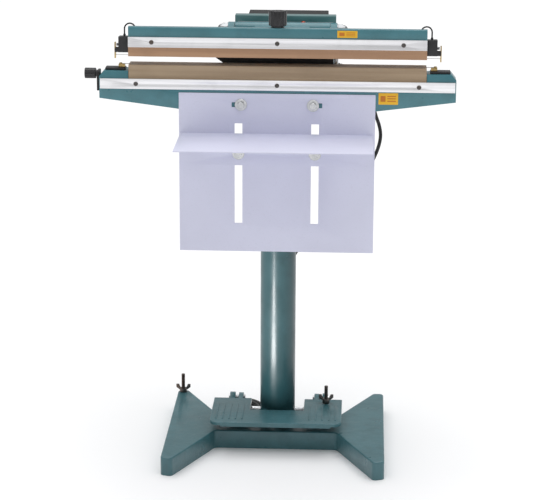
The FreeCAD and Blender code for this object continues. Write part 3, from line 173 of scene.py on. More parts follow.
# ---------------- mesh helpers

def piece_from(name, mesh_in_work, smooth=35):
    """Object at the origin from a bmesh, smooth below the given edge angle in degrees."""
    bmesh.ops.recalc_face_normals(mesh_in_work, faces=mesh_in_work.faces)
    mesh = bpy.data.meshes.new(name)
    mesh_in_work.to_mesh(mesh)
    mesh_in_work.free()
    piece = bpy.data.objects.new(name, mesh)
    bpy.context.scene.collection.objects.link(piece)
    smooth_below(piece, smooth)
    return piece


def smooth_below(piece, degrees):
    mesh = piece.data
    mesh.shade_smooth()
    work = bmesh.new()
    work.from_mesh(mesh)
    limit = math.radians(degrees)
    for edge in work.edges:
        edge.smooth = len(edge.link_faces) == 2 and edge.calc_face_angle(0) < limit
    work.to_mesh(mesh)
    work.free()


def apply_modifiers(piece):
    ready = bpy.context.evaluated_depsgraph_get()
    mesh = bpy.data.meshes.new_from_object(piece.evaluated_get(ready))
    piece.modifiers.clear()
    piece.data = mesh


def dress(piece, body, slot, paint, *nodes, swung=False):
    """Give a finished piece its paint and body, and say which CAD nodes it stands for.  The slot is not used."""
    if swung:
        piece.data.transform(ARM_OPENS)
    piece.data.materials.clear()
    piece.data.materials.append(PAINTS[paint])
    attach(piece, body)
    if nodes:
        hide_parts(*nodes)
    return piece


def axis_turn(along):
    """Turn that carries +Z onto a direction."""
    return Vector(along).to_track_quat("Z", "Y").to_matrix().to_4x4()


def turned(work, profile, spot, along=(0, 0, 1), sides=48, reach=None):
    """Add a turned solid: profile holds (radius, height) pairs, reach limits the radius by angle."""
    put = Matrix.Translation(Vector(spot)) @ axis_turn(along)
    rings = []
    for radius, height in profile:
        if radius < 1e-7:
            rings.append([work.verts.new(put @ Vector((0, 0, height)))])
            continue
        ring = []
        for number in range(sides):
            angle = 2 * math.pi * number / sides
            r = radius if reach is None else min(radius, reach(angle))
            ring.append(work.verts.new(put @ Vector((r * math.cos(angle), r * math.sin(angle), height))))
        rings.append(ring)
    for low, high in zip(rings, rings[1:]):
        for number in range(sides):
            after = (number + 1) % sides
            corners = [low[number % len(low)], low[after % len(low)],
                       high[after % len(high)], high[number % len(high)]]
            unique = list(dict.fromkeys(corners))
            if len(unique) > 2:
                work.faces.new(unique)


def hexagonal(across_flats):
    """Radius limit of a hexagon."""
    def reach(angle):
        off = (angle + math.pi / 6) % (math.pi / 3) - math.pi / 6
        return across_flats / 2 / math.cos(off)
    return reach


def fluted(radius, depth, count):
    """Radius limit of a knob with rounded flutes."""
    return lambda angle: radius - depth * max(0.0, math.cos(count * angle)) ** 0.6


def tube(work, spots, radius, sides=12):
    """Add a round bar of one radius along a line of points, closed at both ends."""
    spots = [Vector(spot) for spot in spots]
    heading = (spots[1] - spots[0]).normalized()
    side = heading.orthogonal().normalized()
    rings = []
    for number, spot in enumerate(spots):
        ahead = spots[min(number + 1, len(spots) - 1)]
        behind = spots[max(number - 1, 0)]
        heading = (ahead - behind).normalized()
        side = (side - heading * side.dot(heading)).normalized()
        other = heading.cross(side)
        ring = []
        for step in range(sides):
            angle = 2 * math.pi * step / sides
            offset = side * math.cos(angle) + other * math.sin(angle)
            ring.append(work.verts.new(spot + offset * radius))
        rings.append(ring)
    for low, high in zip(rings, rings[1:]):
        for step in range(sides):
            after = (step + 1) % sides
            work.faces.new((low[step], low[after], high[after], high[step]))
    work.faces.new(rings[0][::-1])
    work.faces.new(rings[-1])


def slab(work, outline, thickness, put):
    """Add a flat plate: an outline of (across, up) pairs, made thick along the plane's normal."""
    low = [work.verts.new(put @ Vector((across, up, 0))) for across, up in outline]
    high = [work.verts.new(put @ Vector((across, up, thickness))) for across, up in outline]
    work.faces.new(low[::-1])
    work.faces.new(high)
    for number in range(len(outline)):
        after = (number + 1) % len(outline)
        work.faces.new((low[number], low[after], high[after], high[number]))


def rounded_outline(width, height, radius, steps=6):
    """Rounded rectangle about the middle."""
    spots = []
    for side, up, start in ((1, 1, 0), (-1, 1, 90), (-1, -1, 180), (1, -1, 270)):
        for step in range(steps + 1):
            angle = math.radians(start + 90 * step / steps)
            spots.append((side * (width / 2 - radius) + radius * math.cos(angle),
                          up * (height / 2 - radius) + radius * math.sin(angle)))
    return spots


def threaded(work, radius, pitch, low, high, spot, along=(0, 0, 1), sides=24):
    """Add a stud with a real helical thread between two heights."""
    put = Matrix.Translation(Vector(spot)) @ axis_turn(along)
    depth = 0.6 * pitch
    per_pitch = ((0.0, 0.0), (0.12, 0.0), (0.5, depth), (0.62, depth))
    rows = []
    turns = int((high - low) / pitch) + 2
    for turn in range(-1, turns):
        for share, cut in per_pitch:
            row = []
            for number in range(sides + 1):
                height = low + (turn + share + number / sides) * pitch
                clamped = min(max(height, low), high)
                r = radius - cut
                angle = 2 * math.pi * number / sides
                row.append(work.verts.new(put @ Vector((r * math.cos(angle), r * math.sin(angle), clamped))))
            rows.append(row)
    for lower, upper in zip(rows, rows[1:]):
        for number in range(sides):
            corners = (lower[number], lower[number + 1], upper[number + 1], upper[number])
            heights = {round(vertex.co[axis], 7) for vertex in corners for axis in (0, 1, 2)}
            if len(heights) > 3:
                work.faces.new(corners)
    bmesh.ops.remove_doubles(work, verts=work.verts, dist=1e-6)
    bmesh.ops.dissolve_degenerate(work, edges=work.edges, dist=1e-6)
    tip = high + pitch * 0.4
    core = [(0, low), (radius - depth, low), (radius - depth, high), (radius - depth * 2, tip), (0, tip)]
    turned(work, core, spot, along, sides)


def softened(node, width=1.0 * MM, segments=2):
    """Copy of a CAD node with its sharp edges rounded, as a cast, bent or moulded piece has."""
    piece = bpy.data.objects.new(f"{node}_finished", NODES[node].data.copy())
    bpy.context.scene.collection.objects.link(piece)
    work = bmesh.new()
    work.from_mesh(piece.data)
    bmesh.ops.remove_doubles(work, verts=work.verts, dist=2e-6)
    bmesh.ops.dissolve_limit(work, angle_limit=math.radians(0.6), verts=work.verts, edges=work.edges)
    work.to_mesh(piece.data)
    work.free()
    bevel = piece.modifiers.new("rounding", "BEVEL")
    bevel.width = width
    bevel.segments = segments
    bevel.limit_method = "ANGLE"
    bevel.angle_limit = math.radians(38)
    bevel.use_clamp_overlap = True
    bevel.harden_normals = False
    apply_modifiers(piece)
    smooth_below(piece, 30)
    return piece


# ---------------- paints

class Paint:
    """One procedural material, with short ways to add the layers that real surfaces show."""

    def __init__(self, name, colour, roughness, metallic=0.0, coat=0.0):
        self.material = bpy.data.materials.new(name)
        self.material.use_nodes = True
        self.tree = self.material.node_tree
        self.shader = self.tree.nodes["Principled BSDF"]
        self.set("Base Color", (*colour, 1))
        self.set("Roughness", roughness)
        self.set("Metallic", metallic)
        self.set("Coat Weight", coat)
        self.set("Coat Roughness", 0.12)
        self.colour = colour
        self.roughness = roughness
        self.bump_out = None
        self.place = self.tree.nodes.new("ShaderNodeTexCoord").outputs["Object"]

    def set(self, socket, number):
        self.shader.inputs[socket].default_value = number

    def stretched(self, scale):
        """Coordinates scaled differently along each axis, for grain and brushing."""
        mapping = self.tree.nodes.new("ShaderNodeMapping")
        mapping.inputs["Scale"].default_value = scale
        self.tree.links.new(self.place, mapping.inputs["Vector"])
        return mapping.outputs["Vector"]

    def noise(self, scale, detail=3.0, stretch=None):
        node = self.tree.nodes.new("ShaderNodeTexNoise")
        node.inputs["Scale"].default_value = scale
        node.inputs["Detail"].default_value = detail
        self.tree.links.new(self.stretched(stretch) if stretch else self.place, node.inputs["Vector"])
        return node.outputs["Fac"]

    def ramp(self, source, low, high, first, last):
        node = self.tree.nodes.new("ShaderNodeMapRange")
        for socket, number in (("From Min", low), ("From Max", high), ("To Min", first), ("To Max", last)):
            node.inputs[socket].default_value = number
        self.tree.links.new(source, node.inputs["Value"])
        return node.outputs["Result"]

    def blend_colour(self, factor, other):
        """Mix the colour so far towards another where the factor is high."""
        node = self.tree.nodes.new("ShaderNodeMix")
        node.data_type = "RGBA"
        inputs = {socket.identifier: socket for socket in node.inputs}
        present = self.shader.inputs["Base Color"]
        if present.is_linked:
            self.tree.links.new(present.links[0].from_socket, inputs["A_Color"])
        else:
            inputs["A_Color"].default_value = present.default_value
        inputs["B_Color"].default_value = (*other, 1)
        self.tree.links.new(factor, inputs["Factor_Float"])
        result = next(socket for socket in node.outputs if socket.identifier == "Result_Color")
        self.tree.links.new(result, present)
        return self

    def mottled(self, scale, other, low=0.42, high=0.62, detail=4.0, stretch=None, most=1.0):
        return self.blend_colour(self.ramp(self.noise(scale, detail, stretch), low, high, 0.0, most), other)

    def uneven_gloss(self, scale, spread, stretch=None):
        factor = self.ramp(self.noise(scale, 3.0, stretch), 0.3, 0.7,
                           max(self.roughness - spread, 0.03), self.roughness + spread)
        self.tree.links.new(factor, self.shader.inputs["Roughness"])
        return self

    def bumpy(self, source, depth, strength=1.0):
        """Add one layer of relief, its depth in metres."""
        node = self.tree.nodes.new("ShaderNodeBump")
        node.inputs["Strength"].default_value = strength
        node.inputs["Distance"].default_value = depth
        self.tree.links.new(source, node.inputs["Height"])
        if self.bump_out is not None:
            self.tree.links.new(self.bump_out, node.inputs["Normal"])
        self.bump_out = node.outputs["Normal"]
        self.tree.links.new(self.bump_out, self.shader.inputs["Normal"])
        return self


def plain_paint(name, colour, roughness):
    paint = Paint(name, colour, roughness)
    paint.mottled(1.3, tuple(channel * 0.985 for channel in colour))
    return paint.material


def enamel(name, colour, lumps, coat):
    """Teal enamel: orange peel, faint mottling, rubbed patches and, on castings, sand texture."""
    paint = Paint(name, colour, 0.34, coat=coat)
    lighter = tuple(min(channel * 1.16 + 0.006, 1) for channel in colour)
    darker = tuple(channel * 0.86 for channel in colour)
    paint.mottled(9, lighter).mottled(31, darker, 0.5, 0.68, most=0.55)
    paint.mottled(420, tuple(channel * 0.72 for channel in colour), 0.66, 0.74, detail=1.0, most=0.5)
    paint.uneven_gloss(24, 0.07)
    paint.bumpy(paint.noise(330, 2.0), 0.00012)
    if lumps:
        paint.bumpy(paint.noise(75, 3.0), 0.0008 * lumps)
        paint.bumpy(paint.noise(900, 2.0), 0.00016 * lumps)
    return paint.material


def powder_coat(name, colour, roughness, depth):
    paint = Paint(name, colour, roughness)
    paint.mottled(6, tuple(channel * 0.94 for channel in colour), 0.4, 0.7)
    paint.mottled(260, tuple(channel * 0.9 for channel in colour), 0.62, 0.7, detail=1.0, most=0.35)
    paint.uneven_gloss(15, 0.06)
    paint.bumpy(paint.noise(1400, 2.0), depth)
    return paint.material


def drawn_metal(name, colour, roughness, grain=(4, 260, 260), dull=None):
    """Bare metal with grain along one axis, small stains and scratches."""
    paint = Paint(name, colour, roughness, metallic=1.0)
    paint.mottled(1.0, tuple(channel * 0.86 for channel in colour), 0.42, 0.6, 4.0, grain, 0.6)
    paint.mottled(22, dull or tuple(channel * 0.78 for channel in colour), 0.55, 0.75, most=0.5)
    paint.uneven_gloss(1.0, 0.08, grain)
    paint.bumpy(paint.noise(1.0, 3.0, grain), 0.00006)
    return paint.material


def moulded(name, colour, roughness, depth=0.00008):
    """Moulded plastic or rubber with a fine spark-eroded skin and a few handling marks."""
    paint = Paint(name, colour, roughness)
    paint.mottled(45, tuple(channel * 1.5 + 0.006 for channel in colour), 0.5, 0.75, most=0.5)
    paint.uneven_gloss(60, 0.09)
    paint.bumpy(paint.noise(1600, 2.0), depth)
    return paint.material


def glass_cloth(name, colour, streak):
    """Coated glass cloth: a fine square weave, long streaks and slightly scorched patches."""
    paint = Paint(name, colour, 0.42)
    paint.mottled(1.0, streak, 0.38, 0.66, 3.0, (3, 90, 90), 0.8)
    paint.mottled(14, tuple(channel * 0.8 for channel in colour), 0.52, 0.78, most=0.45)
    threads_apart = 1100
    for stretch in ((threads_apart, 1, 1), (1, threads_apart, threads_apart)):
        wave = paint.tree.nodes.new("ShaderNodeTexWave")
        wave.inputs["Scale"].default_value = 1.0
        wave.inputs["Distortion"].default_value = 0.6
        wave.bands_direction = "X" if stretch[0] > 1 else "DIAGONAL"
        paint.tree.links.new(paint.stretched(stretch), wave.inputs["Vector"])
        paint.bumpy(wave.outputs["Fac"], 0.00007)
    paint.set("Sheen Weight", 0.12)
    paint.uneven_gloss(30, 0.07)
    return paint.material


def lamp_red():
    paint = Paint("lamp_red", (0.62, 0.07, 0.025), 0.16, coat=0.5)
    paint.mottled(160, (0.78, 0.16, 0.05), 0.4, 0.6)
    paint.set("Subsurface Weight", 0.25)
    paint.set("Subsurface Radius", (0.004, 0.001, 0.0005))
    return paint.material


def make_paints():
    teal = (0.042, 0.172, 0.205)
    # Darker copy of the arm's teal for the base casting and pedal: painted shade for the base standing low by the
    # floor.
    shaded_teal = (0.042, 0.128, 0.148)
    PAINTS.update(
        teal_casting=enamel("teal_casting", shaded_teal, 1.0, 0.25),
        teal_arm=enamel("teal_arm", teal, 0.45, 0.4),
        # The column's teal is a much darker copy of the same enamel: painted shade for the tube's dark flanks.
        teal_steel=enamel("teal_steel", (0.012, 0.05, 0.058), 0.0, 0.15),
        teal_box=enamel("teal_box", (0.06, 0.165, 0.17), 0.0, 0.4),
        strip=drawn_metal("strip_aluminium", (0.86, 0.86, 0.88), 0.36),
        aluminium=drawn_metal("mill_aluminium", (0.62, 0.62, 0.64), 0.38),
        ribbon=drawn_metal("ribbon_metal", (0.52, 0.50, 0.48), 0.3),
        dark=drawn_metal("blackened_steel", (0.13, 0.12, 0.115), 0.42, (60, 60, 60), (0.2, 0.12, 0.08)),
        plated=drawn_metal("zinc_plated", (0.60, 0.61, 0.62), 0.3, (90, 90, 90)),
        spring=drawn_metal("spring_wire", (0.36, 0.36, 0.38), 0.28, (120, 120, 120)),
        chrome=drawn_metal("polished_chrome", (0.36, 0.37, 0.38), 0.34, (40, 40, 40)),
        brass=drawn_metal("aged_brass", (0.50, 0.36, 0.15), 0.32, (80, 80, 80), (0.22, 0.15, 0.07)),
        black=moulded("black_plastic", (0.018, 0.018, 0.02), 0.5),
        knob=moulded("knob_plastic", (0.014, 0.014, 0.016), 0.3, 0.00003),
        rubber=moulded("lead_rubber", (0.014, 0.014, 0.015), 0.42),
        black_sheet=powder_coat("black_powder", (0.007, 0.007, 0.008), 0.62, 0.0002),
        pale=powder_coat("pale_powder", (0.66, 0.67, 0.82), 0.42, 0.00006),
        legend=powder_coat("legend_grey", (0.42, 0.48, 0.50), 0.4, 0.00004),
        white_ink=plain_paint("white_ink", (0.82, 0.82, 0.80), 0.5),
        yellow=powder_coat("label_yellow", (0.82, 0.46, 0.015), 0.4, 0.00002),
        ink=plain_paint("label_ink", (0.55, 0.17, 0.01), 0.5),
        ink_black=plain_paint("scale_ink", (0.02, 0.02, 0.02), 0.5),
        iron=moulded("varnished_iron", (0.09, 0.07, 0.055), 0.45),
        upper_cloth=glass_cloth("upper_cloth", (0.42, 0.24, 0.135), (0.52, 0.31, 0.18)),
        lower_cloth=glass_cloth("lower_cloth", (0.33, 0.235, 0.145), (0.43, 0.32, 0.21)),
        lamp=lamp_red(),
    )


# ---------------- mains lead

LEAD_ROUTE = [
    (150, 225, 777), (168, 225, 776.5), (184.5, 225, 769.2), (196.8, 224.8, 756), (202.9, 224.5, 739),
    (201.8, 224, 717), (200, 223.3, 695), (204, 222, 673), (213, 220, 651), (217.5, 216, 627),
    (212, 206, 601), (199, 192, 574), (181, 176, 544), (157, 157, 513), (128, 136, 483), (95, 112, 453),
    (60, 84, 425), (29, 58, 393), (12, 48.5, 344), (6, 45.5, 295), (2, 46, 230), (3, 49, 164),
    (3, 57, 110), (6, 73, 70), (6, 94, 38), (0, 116, 17), (-14, 138, 8.5), (-38, 157, 5.2), (-64, 170, 4.6),
]
TAIL_ROUTE = [
    (-88, 84, 4.4), (-56, 83, 4.4), (-22, 84.5, 4.4), (12, 93, 6), (40, 103, 10.7), (66, 103, 10.7),
]
COIL_MIDDLE = (-88, 130)
COIL_STATIONS = [
    # share of a turn from the coil's start, centreline radius and height in millimetres
    (0.00, 46.6, 4.6), (0.16, 51.0, 4.5), (0.30, 51.0, 4.5), (0.58, 50.8, 12.7), (0.79, 50.8, 6.0),
    (1.00, 51.0, 12.7), (1.16, 51.0, 12.7), (1.30, 42.6, 12.7), (1.58, 42.2, 12.7), (1.79, 42.2, 6.0),
    (2.00, 42.2, 12.7), (2.16, 41.6, 4.6), (2.42, 42.0, 4.5), (2.586, 46.0, 4.4),
]


def coil_spots():
    """Turns of the put-away length, wound two layers high, the ends passing under the other turns."""
    start = math.atan2(LEAD_ROUTE[-1][1] - COIL_MIDDLE[1], LEAD_ROUTE[-1][0] - COIL_MIDDLE[0])
    per_turn = 20
    spots = []
    for before, after in zip(COIL_STATIONS, COIL_STATIONS[1:]):
        steps = max(1, round((after[0] - before[0]) * per_turn))
        for step in range(1, steps + 1):
            share = step / steps
            ease = share * share * (3 - 2 * share)
            angle = start + 2 * math.pi * (before[0] + (after[0] - before[0]) * share)
            radius = before[1] + (after[1] - before[1]) * ease
            height = before[2] + (after[2] - before[2]) * ease
            spots.append((COIL_MIDDLE[0] + radius * math.cos(angle),
                          COIL_MIDDLE[1] + radius * math.sin(angle), height))
    return spots


def make_lead():
    """One smooth lead from the gland to the plug."""
    route = LEAD_ROUTE + coil_spots()[:-1] + TAIL_ROUTE
    curve = bpy.data.curves.new("mains_lead_visual", "CURVE")
    curve.dimensions = "3D"
    curve.resolution_u = 6
    curve.bevel_depth = 4 * MM
    curve.bevel_resolution = 5
    curve.use_fill_caps = True
    line = curve.splines.new("NURBS")
    line.points.add(len(route) - 1)
    for point, spot in zip(line.points, route):
        point.co = (*(Vector(spot) * MM), 1)
    line.order_u = 3
    line.use_endpoint_u = True
    lead = bpy.data.objects.new("mains_lead_visual", curve)
    bpy.context.scene.collection.objects.link(lead)
    lead.data.materials.append(PAINTS["rubber"])
    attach(lead, "stand")
    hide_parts("mains_lead", "mains_lead_tail", "mains_lead_coil")
    return lead


def coil_tie():
    """Flat strap closed round the coil's turns."""
    work = bmesh.new()
    angle = math.radians(150)
    outward = Vector((math.cos(angle), math.sin(angle), 0))
    across = Vector((-outward.y, outward.x, 0))
    middle = Vector((*COIL_MIDDLE, 8.6)) * MM + outward * 46.6 * MM
    facing = Matrix((outward, (0, 0, 1), across)).transposed().to_4x4()
    put = Matrix.Translation(middle - across * 6 * MM) @ facing
    outer = rounded_outline(18.8 * MM, 16.6 * MM, 6.5 * MM)
    inner = rounded_outline(17.2 * MM, 15.0 * MM, 5.8 * MM)
    rings = []
    for outline, height in ((outer, 0), (outer, 12 * MM), (inner, 12 * MM), (inner, 0)):
        rings.append([work.verts.new(put @ Vector((x, y, height))) for x, y in outline])
    for first, second in zip(rings, rings[1:] + rings[:1]):
        for number in range(len(outer)):
            after = (number + 1) % len(outer)
            work.faces.new((first[number], first[after], second[after], second[number]))
    return dress(piece_from("coil_tie", work), "stand", "lead_rubber", "black")


def loft(work, sections, put):
    """Add a body through rounded cross-sections: (along, half width, half height, corner power)."""
    sides = 40
    rings = []
    for along, half_width, half_height, power in sections:
        ring = []
        for number in range(sides):
            angle = 2 * math.pi * number / sides
            cos, sin = math.cos(angle), math.sin(angle)
            ring.append(work.verts.new(put @ Vector((
                along, math.copysign(abs(cos) ** (2 / power), cos) * half_width,
                math.copysign(abs(sin) ** (2 / power), sin) * half_height))))
        rings.append(ring)
    for low, high in zip(rings, rings[1:]):
        for number in range(sides):
            after = (number + 1) % sides
            work.faces.new((low[number], low[after], high[after], high[number]))
    work.faces.new(rings[0][::-1])
    work.faces.new(rings[-1])


def mains_plug():
    """Moulded two-pin plug with a ribbed relief and ridged grips."""
    low, high, middle = box_and_middle("mains_plug")
    put = Matrix.Translation((low.x, middle.y, middle.z))
    work = bmesh.new()
    half_width, half_height = (high.y - low.y) / 2, (high.z - low.z) / 2
    sections = [(0, 4.6 * MM, 4.6 * MM, 2)]
    for rib in range(5):
        start = (1.4 + rib * 2.6) * MM
        radius = (5.2 + rib * 0.5) * MM
        sections += [(start, radius - 0.9 * MM, radius - 0.9 * MM, 2), (start + 0.4 * MM, radius, radius, 2),
                     (start + 1.3 * MM, radius, radius, 2),
                     (start + 1.7 * MM, radius - 0.9 * MM, radius - 0.9 * MM, 2)]
    sections += [(14.8 * MM, 8.5 * MM, 7.5 * MM, 2.4), (18 * MM, half_width * 0.72, half_height * 0.9, 3)]
    for ridge in range(6):
        start = (22 + ridge * 3.4) * MM
        share = 0.80 + 0.03 * ridge
        sections += [(start, half_width * share, half_height * 0.97, 3.4),
                     (start + 0.7 * MM, half_width * share - 0.8 * MM, half_height * 0.97, 3.4),
                     (start + 1.7 * MM, half_width * share - 0.8 * MM, half_height * 0.97, 3.4),
                     (start + 2.4 * MM, half_width * (share + 0.02), half_height * 0.97, 3.4)]
    end = 52 * MM
    sections += [(45 * MM, half_width, half_height, 3.8), (end - 1.2 * MM, half_width, half_height, 3.8),
                 (end, half_width - 1.4 * MM, half_height - 1.4 * MM, 3.8)]
    loft(work, sections, put)
    plug = dress(piece_from("mains_plug_moulding", work), "stand", "lead_rubber", "rubber",
                 "mains_plug")
    pins = bmesh.new()
    pin_length = high.x - low.x - end
    for side in (-1, 1):
        spot = put @ Vector((end - 1 * MM, side * 9.5 * MM, 0))
        outline = [(0, 0), (2.4 * MM, 0), (2.4 * MM, pin_length - 1 * MM),
                   (1.6 * MM, pin_length + 0.6 * MM), (0, pin_length + 1 * MM)]
        turned(pins, outline, spot, (1, 0, 0), 20)
    pins = dress(piece_from("mains_plug_pins", pins), "stand", "brass", "brass")
    return plug, pins


def cord_gland():
    """Hexagonal gland nut, its sealing cap and a tapered ribbed relief, outside the neck's wall."""
    low, high, middle = box_and_middle("cord_gland")
    nut_and_relief = 32 * MM
    wall_x = high.x - nut_and_relief
    work = bmesh.new()
    spot = Vector((wall_x, middle.y, middle.z))
    radius = (high.z - low.z) / 2
    nut = [(0, -5 * MM), (7.9 * MM, -5 * MM), (7.9 * MM, 0), (radius, 0), (radius, 5 * MM),
           (radius - 1 * MM, 6 * MM), (radius - 2 * MM, 6 * MM)]
    turned(work, nut, spot, (1, 0, 0), 72, hexagonal(2 * radius * 0.88))
    profile = [(9.2 * MM, 6 * MM), (9.2 * MM, 10.5 * MM), (8.4 * MM, 12 * MM)]
    ribs = 7
    length = high.x - wall_x - 12.4 * MM
    for rib in range(ribs):
        start = 12.4 * MM + length * rib / ribs
        outer = (7.9 - 2.5 * rib / (ribs - 1)) * MM
        profile += [(outer - 0.9 * MM, start), (outer, start + 0.5 * MM),
                    (outer, start + length / ribs * 0.6),
                    (outer - 0.9 * MM, start + length / ribs * 0.75)]
    profile += [(4.3 * MM, high.x - wall_x), (0, high.x - wall_x)]
    turned(work, [(0, 6 * MM)] + profile, spot, (1, 0, 0), 48)
    return dress(piece_from("cord_gland_and_relief", work), "stand", "lead_rubber", "rubber",
                 "cord_gland")


def mains_cord():
    lead = make_lead()
    tie = coil_tie()
    plug, pins = mains_plug()
    gland = cord_gland()


# ---------------- castings, sheets and mouldings kept from the frame

ROUNDED = {
    # (slot, paint): {CAD node: edge rounding in millimetres}
    ("teal_casting", "teal_casting"): {"base_casting": 1.6, "foot_pedal": 0.9},
    ("teal_casting", "teal_arm"): {"lower_arm": 1.4},
    ("teal_alloy", "teal_arm"): {"upper_arm": 1.2},
    ("teal_steel", "teal_steel"): {"column_tube": 0.6},
    ("teal_steel", "teal_box"): {"control_box": 0.8},
    ("bare_aluminium", "aluminium"): {"lower_jaw_bar": 1.2, "upper_jaw_bar": 1.2},
    ("strip_aluminium", "strip"): {"lower_clamp_strip": 0.5, "upper_clamp_strip": 0.5},
    ("black_plastic", "black"): {
        "lower_terminal_blocks": 0.9, "upper_terminal_blocks": 0.7, "lead_clip": 0.5,
        "limit_switch": 0.4, "switch_frame": 0.35},
    ("brass", "brass"): {"lower_terminals": 0.3, "left_electrode": 0.35, "right_electrode": 0.35},
    # The neck cover is a black sheet, and its black also stands in for the shade under the arm's neck between the
    # jaws.
    ("black_sheet", "black_sheet"): {"end_bracket": 1.2, "neck_cover": 0.4, "rear_cover": 0.8},
    ("plated_steel", "plated"): {
        "limit_switch_lever": 0.2, "stop_post": 0.5, "pedal_pivot_pins": 0.5, "pedal_link_pin": 0.4,
        "arm_link_pin": 0.4, "pull_rod": 0.4, "hinge_shaft": 0.5},
    ("black_plastic", "knob"): {"power_rocker": 0.3},
    ("pale_sheet", "pale"): {"table_plate": 0.5, "shelf": 0.7},
    ("dark_steel", "dark"): {"levelling_wing_nut": 0.7, "pedal_wing_nut": 0.7},
    ("core_iron", "iron"): {"transformer": 1.0},
    ("legend_enamel", "legend"): {"legend_plate": 0.2},
}
KEPT = {
    # CAD node shown as it is: its paint
    "lower_heating_ribbon": "ribbon", "upper_heating_ribbon": "ribbon",
}


def body_holding(node):
    bodies = frame["record"]["behaviour"]["bodies"]
    return next(body for body, nodes in bodies.items() if node in nodes)


def finish_frame_pieces():
    for (slot, paint), widths in ROUNDED.items():
        for node, width in widths.items():
            dress(softened(node, width * MM), body_holding(node), slot, paint, node)
    for node, paint in KEPT.items():
        NODES[node].data.materials.clear()
        NODES[node].data.materials.append(PAINTS[paint])


# ---------------- sealing cloths

def cloth_line(low, high, fold_up, radius=1.6 * MM):
    """Centreline of a folded cloth from its front rim over the jaw's edge to its back rim."""
    sign = 1 if fold_up else -1
    fold = high.z if fold_up else low.z
    rim = low.z if fold_up else high.z
    return_length = 12 * MM
    spots = []
    steps = 10
    for step in range(steps + 1):
        spots.append((low.y, rim + (fold - sign * radius - rim) * step / steps))
    for corner_y, inward, start in ((low.y, 1, 0), (high.y, -1, 90)):
        for step in range(1, 7):
            angle = math.radians(start + 90 * step / 6)
            spots.append((corner_y + (inward - math.cos(angle)) * radius,
                          fold - sign * radius + sign * math.sin(angle) * radius))
        if inward > 0:
            across_steps = 14
            for step in range(1, across_steps):
                share = step / across_steps
                spots.append((low.y + radius + (high.y - low.y - 2 * radius) * share, fold))
    for step in range(1, 4):
        spots.append((high.y, fold - sign * (radius + (return_length - radius) * step / 3)))
    return spots


def sealing_cloth(node, slot, paint, body, fold_up, swung):
    """Thin cloth folded over a jaw, stretched, with faint ripples along its free faces."""
    low, high = closed_box(node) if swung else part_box(node)
    thickness = 0.35 * MM
    low = low + Vector((0, thickness / 2, thickness / 2))
    high = high - Vector((0, thickness / 2, thickness / 2))
    line = cloth_line(low, high, fold_up)
    work = bmesh.new()
    columns = 220
    grid = []
    for column in range(columns + 1):
        x = low.x + (high.x - low.x) * column / columns
        row = []
        for y, z in line:
            ripple = noise.noise(Vector((x * 28, y * 60, z * 90 + 7))) * 0.16 * MM
            row.append(work.verts.new((x, y + ripple, z - abs(ripple) * (1 if fold_up else -1))))
        grid.append(row)
    for first, second in zip(grid, grid[1:]):
        for number in range(len(line) - 1):
            work.faces.new((first[number], second[number], second[number + 1], first[number + 1]))
    cloth = piece_from(f"{node}_sheet", work, smooth=60)
    solid = cloth.modifiers.new("thickness", "SOLIDIFY")
    solid.thickness = thickness
    solid.offset = 0
    apply_modifiers(cloth)
    smooth_below(cloth, 60)
    dress(cloth, body, slot, paint, node, swung=swung)


# ---------------- springs and wires

def helix(spot, radius, low, high, turns, closed_turns, along=(0, 0, 1), per_turn=28):
    """Points of a coil spring whose end turns lie close together."""
    put = Matrix.Translation(Vector(spot)) @ axis_turn(along)
    total = turns + 2 * closed_turns
    spots = []
    count = int(total * per_turn)
    wire = 1.05
    for number in range(count + 1):
        turn = total * number / count
        open_share = min(max(turn - closed_turns, 0) / turns, 1)
        ends = (min(turn, closed_turns) + max(turn - closed_turns - turns, 0)) / (2 * closed_turns)
        end_rise = min((high - low) * 0.18, closed_turns * 2 * wire * 3.2 * MM)
        height = low + (high - low - end_rise) * open_share + end_rise * ends
        angle = 2 * math.pi * turn
        spots.append(put @ Vector((radius * math.cos(angle), radius * math.sin(angle), height)))
    return spots


def return_spring():
    """Compression spring round the pull rod, at one fixed length."""
    low, high, middle = box_and_middle("return_spring")
    wire = 1.6 * MM
    radius = (high.x - low.x) / 2 - wire
    work = bmesh.new()
    tube(work, helix((middle.x, middle.y, 0), radius, low.z + wire, high.z - wire, 6, 1), wire, 12)
    spring = dress(piece_from("return_spring_coils", work, 60), "stand", "spring_steel", "spring",
                   "return_spring")
    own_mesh(spring)


def electrode_springs():
    """Two short tension springs that pull the electrode levers outwards."""
    low, high, middle = box_and_middle("electrode_springs", swung=True)
    wire = 0.45 * MM
    radius = (high.z - low.z) / 2 - wire
    length = 5.2 * MM
    work = bmesh.new()
    for side in (-1, 1):
        far = high.x if side > 0 else low.x
        start = (far - side * length, middle.y, middle.z)
        tube(work, helix(start, radius, wire, length - wire, 4, 0.6, (side, 0, 0)), wire, 8)
    dress(piece_from("electrode_spring_coils", work, 60), "arm", "spring_steel", "spring",
          "electrode_springs", swung=True)


